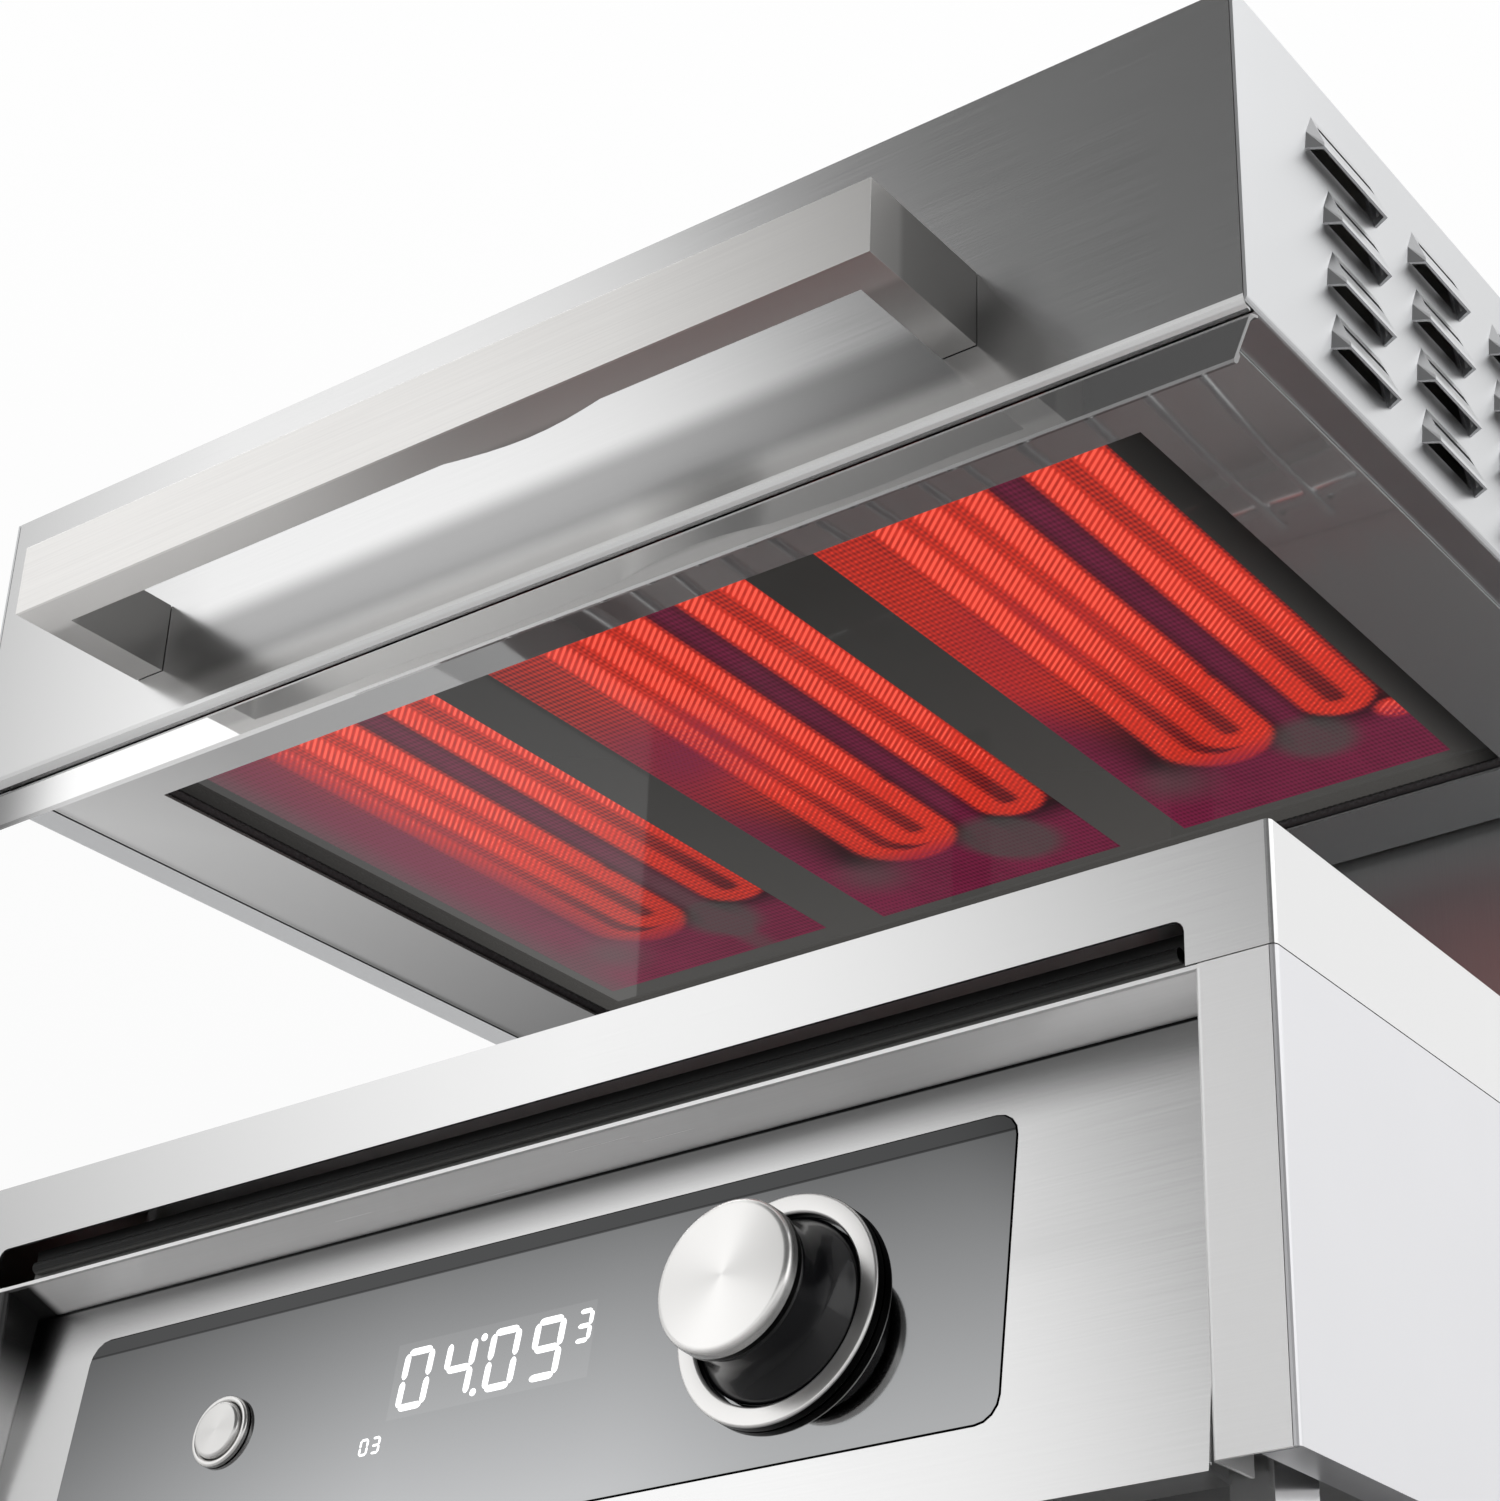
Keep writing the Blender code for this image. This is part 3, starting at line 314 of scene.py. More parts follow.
def satin_sheet(name, grey, roughness, tint=(1.0, 1.0, 1.0)):
    """Finely blasted sheet without a visible grain."""
    sheet = Surface(name, tone(grey, tint), 1.0, roughness)
    fine = sheet.noise(2600.0, detail=2.0)
    cloud = sheet.noise(12.0, detail=3.0)
    sheet.drive("Base Color", sheet.mix(cloud, tone(grey * 0.97, tint), tone(grey * 1.03, tint)))
    sheet.drive("Roughness", fine * 0.06 + cloud * 0.04 + (roughness - 0.05))
    sheet.bump(fine, 0.05, 0.0001)
    return sheet.material


def spun_metal(name, grey, roughness, spread=0.8, foot=None):
    """Face turned about its own Z axis: very fine rings and a fanned highlight; blackened
    below the foot height, which is painted shade on the ring's side walls and stands for the
    black neck on the knob cap."""
    metal = Surface(name, tone(grey), 1.0, roughness, Anisotropic=spread)
    x, y, z = metal.axes()
    rings = x.length(y).wave(0.35) * 0.5 + 0.5
    colour = metal.mix(rings, tone(grey * 0.98, (1.0, 0.99, 0.975)),
                       tone(grey * 1.02, (1.0, 0.99, 0.975)))
    if foot:
        colour = metal.mix(z.ramp(foot, foot + 0.25), tone(0.006), colour)
    metal.drive("Base Color", colour)
    metal.drive("Roughness", rings * 0.02 + (roughness - 0.01))
    metal.turned("Z", 0.25)
    return metal.material


def gloss_black():
    """Deep black lacquer with a clear coat."""
    lacquer = Surface("gloss_black", (0.004, 0.004, 0.005), 0.0, 0.16, Coat_Weight=0.5,
                      Coat_Roughness=0.06, Specular_IOR_Level=0.2)
    cloud = lacquer.noise(60.0, detail=1.0)
    lacquer.drive("Base Color", lacquer.mix(cloud, (0.003, 0.003, 0.004), (0.006, 0.006, 0.007)))
    lacquer.drive("Roughness", cloud * 0.05 + 0.17)
    return lacquer.material


def plain_metal(name, grey, roughness, mottle=0.05, scale=120.0):
    """Bright fittings, rods and galvanised sheet, with a mottled tone."""
    metal = Surface(name, tone(grey), 1.0, roughness)
    spots = metal.noise(scale, detail=3.0)
    metal.drive("Base Color", metal.mix(spots, tone(grey * (1.0 - mottle)),
                                        tone(grey * (1.0 + mottle))))
    metal.drive("Roughness", spots * 0.08 + (roughness - 0.04))
    return metal.material


def moulded(name, colour, roughness, grain=900.0, depth=0.04):
    """Plastic, enamel or ceramic with a slight mottle and a fine grain."""
    body = Surface(name, colour, 0.0, roughness)
    fine = body.noise(grain, detail=2.0)
    cloud = body.noise(40.0, detail=2.0)
    lighter = tuple(c * 1.25 + 0.002 for c in colour)
    body.drive("Base Color", body.mix(cloud, colour, lighter))
    body.drive("Roughness", fine * 0.08 + (roughness - 0.04))
    body.bump(fine, depth, 0.0001)
    return body.material


def tray_enamel():
    """Black enamel on the front wall, with a painted highlight line near its foot; grey inside."""
    tray = Surface("tray_enamel", (0.010, 0.010, 0.011), 0.0, 0.34, Specular_IOR_Level=0.2)
    _, y, z = tray.axes()
    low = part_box("drip_tray")[0] / MM
    inside = (y - low.y).ramp(13.0, 15.0)
    # painted highlight: a bright line along the front wall near its foot
    line = (z - low.z - 3.0).size().ramp(0.6, 2.4, 1.0, 0.0) * inside.inverse()
    cloud = tray.noise(40.0, detail=2.0)
    front = tray.mix(line, (0.004, 0.004, 0.004), (0.16, 0.16, 0.155))
    tray.drive("Base Color", tray.mix(inside, front, tray.mix(cloud, (0.40, 0.40, 0.39),
                                                              (0.48, 0.48, 0.47))))
    tray.drive("Roughness", cloud * 0.1 + 0.30)
    return tray.material


def heater_glass():
    """Black glass ceramic; the glowing ribbons show through three printed dot screens, drawn on
    the glass as emission, and the unlit print and the plain glass get a faint painted glow.
    """
    glass = Surface("black_glass_ceramic", (0.006, 0.006, 0.007), 0.0, 0.04,
                    Specular_IOR_Level=0.18)
    x, y, z = glass.axes()
    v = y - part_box("top_cover")[0].y / MM
    layers = None
    for name in ZONES:
        low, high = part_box("heater_tray_" + name)
        u = x - 0.5 * (low.x + high.x) / MM
        rear = SCREEN_REAR[name]
        inside = (u.size().ramp(SCREEN_HALF_W, SCREEN_HALF_W + 0.5, 1.0, 0.0)
                  * v.ramp(rear, rear + 0.5, 1.0, 0.0))
        found = [layer * inside for layer in (*glow_of_zone(u - RIBBON_SHIFT[name], v, name),
                                              inside)]
        layers = found if layers is None else [a + b for a, b in zip(layers, found)]
    heat, purple, grey, screen = layers

    dots = (x * 0.87 + v * 0.5).wave(DOT_PITCH) * (x * 0.87 - v * 0.5).wave(DOT_PITCH)
    ribs = (x * 0.63 + v * 0.78).wave(RIB_PITCH)
    grain = glass.noise(55.0, detail=2.0)
    bright = heat.ramp(0.45, 0.85)
    uneven = glass.noise(130.0, detail=1.0).ramp(0.3, 0.7, 0.17, 0.32)
    texture = ribs * bright * uneven + dots * (bright * -1.0 + 1.0) * 0.55
    glow = heat * (texture + 1.0) + (grain - 0.5) * heat * 0.16
    ramp = glass.new("ShaderNodeValToRGB")
    glass.tree.links.new(glow.socket, ramp.inputs[0])
    stops = ((0.0, (0.002, 0.001, 0.002)), (0.22, (0.085, 0.006, 0.010)),
             (0.45, (0.27, 0.016, 0.012)), (0.70, (0.50, 0.026, 0.014)),
             (0.92, (0.76, 0.040, 0.022)), (1.0, (0.97, 0.105, 0.065)))
    elements = ramp.color_ramp.elements
    elements[0].position, elements[0].color = stops[0][0], (*stops[0][1], 1.0)
    elements[1].position, elements[1].color = stops[-1][0], (*stops[-1][1], 1.0)
    for position, colour in stops[1:-1]:
        element = elements.new(position)
        element.color = (*colour, 1.0)
    haze = purple * (dots * 0.45 + 0.95) * ((grain - 0.5) * 0.5 + 1.0)
    with_haze = glass.mix(haze.low(1.0), ramp.outputs[0], (0.155, 0.012, 0.044))
    # painted light: the unlit screen print glows a faint grey
    painted_print_glow = grey * (dots * 0.20 + 0.80)
    lit = glass.mix(painted_print_glow, with_haze, (0.060, 0.055, 0.053))
    # painted light on the plain glass outside the screens: a faint grey glow, weaker towards the
    # front and gone at the right end
    floor = x.ramp(232.0, 205.0) * v.ramp(40.0, 290.0, 0.35, 1.0, soft=False)
    plain = glass.mix(floor, (0.004, 0.004, 0.004), (0.060, 0.058, 0.055))
    glass.drive("Emission Color", glass.mix(screen, plain, lit))
    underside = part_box("ceramic_glass")[0].z / MM
    glass.drive("Emission Strength", z.ramp(underside + 0.5, underside + 1.0, 1.0, 0.0))
    glass.drive("Base Color", glass.mix(screen * 0.6, (0.020, 0.020, 0.019),
                                        (0.03, 0.028, 0.028)))
    glass.drive("Roughness", screen * (dots * 0.5 + 0.5) * 0.10 + 0.035)
    return glass.material


def glow_of_zone(u, v, name):
    """Heat, purple haze and unlit screen of one zone, across (u) and from the front (v)."""
    def turn(centre, radius, start):
        past = (v - start).high(0.0)
        return ((u - centre).length(past) - radius).size()

    def band(first, last, soft):
        middle, half = 0.5 * (first + last), 0.5 * (last - first)
        return (u - middle).size().ramp(half - soft, half + soft, 1.0, 0.0)

    strand = turn(*TURNS[0]).low(turn(*TURNS[1])).low(turn(*TURNS[2]))
    core = strand.ramp(*STRAND_HALF_W, 1.0, 0.0)
    fall = v.ramp(120.0, 235.0, 1.0, 0.45)
    filled = (band(-38.0, 13.0, 5.0) * v.ramp(232.0, 250.0, 1.0, 0.0) * 0.66)
    filled = filled.high(band(28.0, 64.0, 5.0) * v.ramp(226.0, 242.0, 1.0, 0.0) * 0.56) * fall
    margin = band(-70.0, -34.0, 9.0) * v.ramp(150.0, 238.0, 0.60, 0.0)
    filled = filled.high(margin)
    heat = filled + core * (v.ramp(100.0, 240.0, 0.93, 0.72) - filled)
    gap = band(15.0, 26.5, 4.0)
    notch = u.spot(v, (15.5, 184.0), 7.0)
    heat = heat * (notch * 0.6 + gap * 0.35).low(0.9).inverse()

    rear = v.ramp(236.0, 258.0)
    purple = rear * 0.85 + gap * v.ramp(200.0, 244.0, 0.72, 0.80)
    purple = purple + u.ramp(-64.0, -36.0, 0.85, 0.0) * v.ramp(110.0, 235.0, 0.0, 1.0)
    purple = purple + u.spot(v, (-30.0, 120.0), 55.0) * 0.28 * core.inverse()
    grey = u.spot(v, (22.0, 252.0), 30.0).ramp(0.12, 0.75) + u.spot(v, (-44.0, 254.0), 26.0) * 0.7
    if name == "left":
        heat = heat * u.ramp(-66.0, -18.0, 0.40, 0.95) * v.ramp(60.0, 235.0, 0.98, 0.88)
        purple = purple + u.ramp(-50.0, -12.0, 0.80, 0.0)
        grey = grey + u.ramp(-72.0, -52.0, 0.6, 0.0) + gap * v.ramp(150.0, 230.0, 0.0, 0.6)
    if name == "middle":
        heat = heat * u.ramp(-62.0, -20.0, 0.70, 1.0)
        purple = purple + u.spot(v, (-52.0, 120.0), 60.0) * 0.55
        grey = grey + u.spot(v, (28.0, 262.0), 30.0).ramp(0.1, 0.7)
    if name == "right":
        heat = heat.high(u.spot(v, (60.0, 248.0), 14.0).ramp(0.1, 0.7) * 0.9)
    return heat.low(1.0), purple.low(0.95), grey.low(0.92)


def control_glass():
    """Dark mirror-coated panel with a painted reflection gradient, lighter at the bottom and
    shaded towards its top and its ends, with a faint display window behind it."""
    glass = Surface("dark_control_glass", (0.4, 0.4, 0.41), 1.0, 0.05)
    x, _, z = glass.axes()
    window = ((x - WINDOW_CENTRE[0]).size().ramp(WINDOW_HALF[0], WINDOW_HALF[0] + 0.5, 1.0, 0.0)
              * (z - WINDOW_CENTRE[1]).size().ramp(WINDOW_HALF[1], WINDOW_HALF[1] + 0.5, 1.0, 0.0))
    # painted reflection gradient: lighter towards the bottom, painted shade towards the top and
    # both ends
    depth = z.ramp(52.0, 148.0, 1.0, 0.0, soft=False)
    ends = x.ramp(-221.0, -60.0, 0.66, 1.0, soft=False) * x.ramp(30.0, 120.0, 1.0, 0.76)
    mirror_with_painted_shade = (depth * 0.27 + 0.125) * ends
    strip_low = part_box("control_glass")[1].z / MM - STRIP_HEIGHT
    strip = z.ramp(strip_low, strip_low + 0.3)
    mirror_with_painted_shade = mirror_with_painted_shade * strip.inverse() + strip * 0.050
    mirror_with_painted_shade = mirror_with_painted_shade * (z - strip_low).size().ramp(0.25, 0.55, 0.35, 1.0)
    light = glass.mix(mirror_with_painted_shade, (0.0, 0.0, 0.0), (0.97, 0.985, 1.0))
    glass.drive("Base Color", glass.mix(window * 0.03, light, (0.9, 0.9, 0.9)))
    fine = glass.noise(1500.0, detail=1.0)
    glass.drive("Roughness", fine * 0.03 + 0.04)
    return glass.material


def display_light():
    lit = Surface("display_light", (0.9, 0.9, 0.9), 0.0, 0.5)
    flicker = lit.noise(300.0, detail=1.0)
    lit.drive("Emission Color", lit.mix(flicker, (0.93, 0.94, 0.95), (1.0, 1.0, 1.0)))
    lit.shader.inputs["Emission Strength"].default_value = 1.15
    return lit.material


def braid_material():
    braid = Surface("braided_glass_fibre", (0.012, 0.012, 0.013), 0.0, 0.42)
    fibre = braid.noise(2500.0, (1.0, 1.0, 0.4), detail=2.0)
    braid.drive("Base Color", braid.mix(fibre, (0.006, 0.006, 0.007), (0.085, 0.085, 0.087)))
    braid.drive("Roughness", fibre * 0.25 + 0.30)
    braid.bump(fibre, 0.25, 0.0002)
    return braid.material


def glowing_ribbon():
    ribbon = Surface("heater_ribbon", (0.25, 0.05, 0.03), 0.6, 0.5)
    _, y, _ = ribbon.axes()
    folds = y.wave(3.0) * 0.5 + 0.5
    ribbon.drive("Emission Color", ribbon.mix(folds, (0.75, 0.05, 0.02), (1.0, 0.16, 0.06)))
    ribbon.shader.inputs["Emission Strength"].default_value = 0.15
    ribbon.drive("Base Color", ribbon.mix(folds, (0.20, 0.04, 0.03), (0.32, 0.08, 0.05)))
    return ribbon.material


# ---------------------------------------------------------------- dressing the CAD nodes
def dress():
    wide = (0.012, 1.0, 1.0)
    looks = {
        # hood front: painted shadow behind the handle bar, and painted shade towards the left end
        "hood_front": brushed_steel("hood_steel", 0.69, 0.21, wide, streak=0.04, bump=0.03,
                                    handle_shadow=0.5, lean=(-170.0, -300.0, 0.74)),
        "hood_top": brushed_steel("hood_top_steel", 0.60, 0.32, wide),
        # top cover: painted shade towards the left end
        "top_cover": brushed_steel("cover_steel", 0.70, 0.24, wide, streak=0.03,
                                   lean=(20.0, -290.0, 0.72)),
        # frame: painted shade patch at the top of the left post
        "front_frame": brushed_steel("frame_steel", 0.86, 0.26, wide, streak=0.03, bump=0.002,
                                     metallic=0.35, end=(-244.0, -250.0, 172.2)),
        # fascia: painted shade under the sill, a painted shade patch at the left end, and painted
        # shade towards the left
        "control_fascia": brushed_steel("fascia_steel", 0.74, 0.24, wide, streak=0.04,
                                        shade=(141.0, 164.0, 0.24),
                                        end=(-240.0, -254.0, 170.0),
                                        lean=(40.0, -250.0, 0.72)),
        # handle: painted shade towards the right end and on the faces behind the bar's front
        "handle": brushed_steel("handle_steel", 0.77, 0.34, wide, streak=0.07, smudge=0.05,
                                tint=(1.0, 0.985, 0.965), lean=(90.0, 214.0, 0.78),
                                back=((0.9, 0.86), (15.0, 0.60))),
        "hood_underplate": polished_plate("underplate_steel", 0.66, 0.36, 0.035, 0.30),
        "ceramic_glass": heater_glass(),
        "control_glass": control_glass(),
        "knob_cap": spun_metal("spun_knob_steel", 0.80, 0.26, foot=27.3),
        "button_cap": spun_metal("spun_button_steel", 0.66, 0.26),
        # the ring's side walls below the foot are painted black as shade
        "knob_ring": spun_metal("ring_steel", 0.80, 0.30, 0.4, foot=3.7),
        "button_ring": spun_metal("bezel_steel", 0.70, 0.22, 0.4),
        "knob_body": gloss_black(),
        "drip_tray": tray_enamel(),
        "wire_rack": plain_metal("chrome_wire", 0.80, 0.12, 0.03),
        "column_front": brushed_steel("column_steel", 0.34, 0.36, (1.0, 1.0, 0.02),
                                      metallic=0.7, tint=(0.96, 1.0, 1.005)),
        "column_cap": brushed_steel("column_cap_steel", 0.30, 0.34, wide),
        "column_back": brushed_steel("column_back_steel", 0.55, 0.34, (1.0, 1.0, 0.02)),
        "base_back": brushed_steel("base_back_steel", 0.55, 0.34, wide),
        "rope_seal": braid_material(),
        "cable_gland": moulded("gland_plastic", (0.020, 0.020, 0.021), 0.45),
        "control_housing": moulded("housing_plastic", (0.025, 0.025, 0.026), 0.50),
        "encoder": moulded("encoder_plastic", (0.030, 0.030, 0.032), 0.50),
        "button_switch": moulded("switch_plastic", (0.030, 0.030, 0.032), 0.50),
        "terminal_block": moulded("terminal_plastic", (0.72, 0.71, 0.67), 0.45),
        "power_board": moulded("power_circuit", (0.020, 0.110, 0.050), 0.40),
        "display_board": moulded("display_circuit", (0.018, 0.090, 0.050), 0.40),
    }
    side = satin_sheet("side_steel", 0.56, 0.34, (0.975, 0.985, 1.0))
    base_side = satin_sheet("base_side_steel", 0.70, 0.36, (0.975, 0.975, 1.0))
    galvanised = plain_metal("galvanised_sheet", 0.50, 0.42, 0.18, 90.0)
    bright = plain_metal("bright_steel", 0.74, 0.20)
    insulation = moulded("heater_insulation", (0.60, 0.58, 0.52), 0.85, 300.0, 0.3)
    ceramic = moulded("limiter_ceramic", (0.72, 0.69, 0.63), 0.40)
    black_tube = moulded("strut_enamel", (0.010, 0.010, 0.010), 0.20)
    ribbon = glowing_ribbon()
    groups = (
        (side, ("hood_side_left", "hood_side_right")),
        (base_side, ("base_side_left", "base_side_right")),
        (galvanised, ("base_floor", "tray_deck", "tray_rail_left", "tray_rail_right",
                      "hood_back", "carriage")),
        (bright, ("guide_rod_left", "guide_rod_right", "strut_rod_left", "strut_rod_right",
                  "foot_front_left", "foot_front_right", "foot_rear_left", "foot_rear_right")),
        (black_tube, ("strut_cylinder_left", "strut_cylinder_right")),
        (insulation, tuple("heater_tray_" + name for name in ZONES)),
        (ceramic, tuple("limiter_" + name for name in ZONES)),
        (ribbon, tuple("heater_coil_" + name for name in ZONES)),
    )
    for material, names in groups:
        for name in names:
            looks[name] = material
    for name, node in NODES.items():
        node.data.materials.clear()
        node.data.materials.append(looks[name])
    return looks


# ---------------------------------------------------------------- fine pieces
def add_piece(name, bm, material, body, replaced=(), place=None, sharp=32.0):
    """Mesh in metres; place is its own frame, and round faces between sharp edges are smooth."""
    bmesh.ops.recalc_face_normals(bm, faces=bm.faces)
    mesh = bpy.data.meshes.new(name)
    bm.to_mesh(mesh)
    bm.free()
    mesh.shade_smooth()
    mesh.set_sharp_from_angle(angle=radians(sharp))
    mesh.materials.append(material)
    piece = bpy.data.objects.new(name, mesh)
    bpy.context.scene.collection.objects.link(piece)
    if place is not None:
        piece.matrix_world = place
    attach(piece, body)
    if replaced:
        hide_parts(*replaced)
    return piece


def filleted(points, radius, steps=4, closed=False):
    """Outline with each corner rounded by about the radius."""
    points = [Vector(point) for point in points]
    count = len(points)
    inner = range(count) if closed else range(1, count - 1)
    out = [] if closed else [points[0]]
    for i in inner:
        corner = points[i]
        before, after = points[i - 1] - corner, points[(i + 1) % count] - corner
        reach = min(radius, 0.48 * before.length, 0.48 * after.length)
        start, end = corner + before.normalized() * reach, corner + after.normalized() * reach
        for k in range(steps + 1):
            t = k / steps
            out.append(start * (1 - t) ** 2 + corner * 2 * t * (1 - t) + end * t * t)
    return out if closed else out + [points[-1]]


def lathe(profile, segments=128):
    """Turns (radius, height) points in millimetres round Z; ends on the axis are closed."""
    bm = bmesh.new()
    rings = []
    for radius, height in profile:
        if radius < 1e-6:
            rings.append([bm.verts.new((0.0, 0.0, height * MM))])
            continue
        rings.append([bm.verts.new((radius * MM * cos(2 * pi * k / segments),
                                    radius * MM * sin(2 * pi * k / segments), height * MM))
                      for k in range(segments)])
    pairs = list(zip(rings, rings[1:]))
    if len(rings[0]) > 1:
        pairs.append((rings[-1], rings[0]))
    for first, second in pairs:
        for k in range(segments):
            n = (k + 1) % segments
            corners = [first[k % len(first)], first[n % len(first)],
                       second[n % len(second)], second[k % len(second)]]
            bm.faces.new(list(dict.fromkeys(corners)))
    return bm


def panel_frame(x, v):
    """Frame on the tilted fascia: millimetres from the knob's axis, +Z out of the panel."""
    knob = JOINTS["knob_turn"]
    out = Vector(knob["axis"]).normalized()
    along = Vector((1.0, 0.0, 0.0))
    up = out.cross(along)
    at = Vector(knob["pos_m"]) + along * x * MM + up * v * MM
    turn = Matrix((along, up, out)).transposed().to_4x4()
    return Matrix.Translation(at) @ turn


def panel_place(node):
    """Where a round node's axis meets the panel, in the knob's panel millimetres."""
    low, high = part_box(node)
    point = panel_frame(0.0, 0.0).inverted() @ ((low + high) * 0.5)
    return point.x / MM, point.y / MM


def make_controls(looks):
    knob = panel_frame(0.0, 0.0)
    ring = filleted([(31.8, 0.7), (38.5, 0.7), (38.5, 4.3), (37.9, 4.8), (32.5, 4.8), (31.8, 4.2)],
                    0.3, closed=True)
    add_piece("knob_ring_turned", lathe(ring, 160), looks["knob_ring"], "base",
              ["knob_ring"], knob)
    body = filleted([(0.0, 1.5), (30.4, 1.5), (31.0, 3.0), (28.0, 7.0), (25.8, 11.0),
                     (24.6, 15.5), (24.3, 20.0), (24.3, 24.2), (0.0, 24.2)], 2.2, 6)
    add_piece("knob_body_turned", lathe(body, 160), looks["knob_body"], "knob",
              ["knob_body"], knob)
    cap = filleted([(0.0, 24.4), (24.7, 24.4), (25.5, 25.2), (25.5, 31.8), (0.0, 31.8)], 2.3, 6)
    add_piece("knob_cap_turned", lathe(cap, 160), looks["knob_cap"], "knob",
              ["knob_cap"], knob)

    x, v = panel_place("button_cap")
    button = panel_frame(x, v)
    bezel = filleted([(10.6, -13.0), (11.6, -13.0), (11.6, 0.7), (13.0, 0.7), (13.0, 2.2),
                      (12.4, 2.8), (11.2, 2.8), (10.6, 2.2)], 0.3, closed=True)
    add_piece("button_ring_turned", lathe(bezel, 96), looks["button_ring"], "base",
              ["button_ring"], button)
    press = filleted([(0.0, -6.0), (10.3, -6.0), (10.3, 3.7), (9.4, 4.4), (0.0, 4.15)], 0.5)
    add_piece("button_cap_turned", lathe(press, 96), looks["button_cap"], "button",
              ["button_cap"], button)


LIT = {"0": "abcdef", "3": "abcdg", "4": "bcfg", "9": "abcdfg"}


def add_digit(bm, digit, x, v, width, height, thick, slant):
    """Seven-segment figure whose lower left corner is at (x, v), in panel millimetres."""
    half = 0.5 * thick
    left, right, low, high = half, width - half, half, height - half
    middle = 0.5 * height
    ends = {"a": ((left, high), (right, high)), "b": ((right, high), (right, middle)),
            "c": ((right, middle), (right, low)), "d": ((left, low), (right, low)),
            "e": ((left, middle), (left, low)), "f": ((left, high), (left, middle)),
            "g": ((left, middle), (right, middle))}
    for letter in LIT[digit]:
        start, end = (Vector(point) for point in ends[letter])
        run = (end - start).normalized()
        side = Vector((-run.y, run.x)) * half * 0.88
        start, end = start + run * 0.18 * thick, end - run * 0.18 * thick
        tip = run * half
        outline = [start - tip * 0.35, start + tip * 0.55 + side, end - tip * 0.55 + side,
                   end + tip * 0.35, end - tip * 0.55 - side, start + tip * 0.55 - side]
        add_plate(bm, [(x + p.x + p.y * slant, v + p.y)
                       for p in filleted(outline, 0.35 * thick, 3, closed=True)])


def add_plate(bm, outline, low=0.42, high=0.56):
    """Thin plate standing on the panel, from an outline in panel millimetres."""
    rings = [[bm.verts.new((x * MM, v * MM, z * MM)) for x, v in outline] for z in (low, high)]
    bm.faces.new(rings[0])
    bm.faces.new(rings[1])
    count = len(outline)
    for i in range(count):
        j = (i + 1) % count
        bm.faces.new((rings[0][i], rings[0][j], rings[1][j], rings[1][i]))


def make_display():
    """Lit figures of the timer, and a small generic number below them."""
    light = display_light()
    knob = Vector(JOINTS["knob_turn"]["pos_m"]) / MM
    first, base_v = FIGURE_X - knob.x, FIGURE_Z - knob.z
    slant, dot_radius = 0.055, 1.35
    bm = bmesh.new()
    for k, digit in enumerate("0409"):
        add_digit(bm, digit, first + FIGURE_PITCH * k, base_v, 13.7, 22.6, 2.9, slant)
    for k, v in enumerate((1.4, 20.6)):
        x, v = first + 1.5 * FIGURE_PITCH + 6.3 + 1.3 * k, base_v + v
        add_plate(bm, [(x + dot_radius * cos(pi * i / 8), v + dot_radius * sin(pi * i / 8))
                       for i in range(16)])
    add_digit(bm, "3", first + 4 * FIGURE_PITCH - 0.6, base_v + 10.2, 7.2, 12.2, 1.9, slant)
    add_piece("display_figures", bm, light, "base",
              place=panel_frame(0.0, 0.0))
    bm = bmesh.new()
    for k, digit in enumerate("03"):
        add_digit(bm, digit, SMALL_X + SMALL_PITCH * k - knob.x, SMALL_Z - knob.z, 4.0, 6.2, 0.95,
                  0.03)
    add_piece("display_small_number", bm, light, "base",
              place=panel_frame(0.0, 0.0))


def sweep(bm, points, section_at, closed):
    """Skin along points: section_at(i) gives the ring of points round the i-th one."""
    rings = [[bm.verts.new(point) for point in section_at(i)] for i in range(len(points))]
    pairs = list(zip(rings, rings[1:] + rings[:1])) if closed else list(zip(rings, rings[1:]))
    for first, second in pairs:
        count = len(first)
        for j in range(count):
            k = (j + 1) % count
            bm.faces.new((first[j], second[j], second[k], first[k]))
    if not closed:
        bm.faces.new(rings[0])
        bm.faces.new(rings[-1])


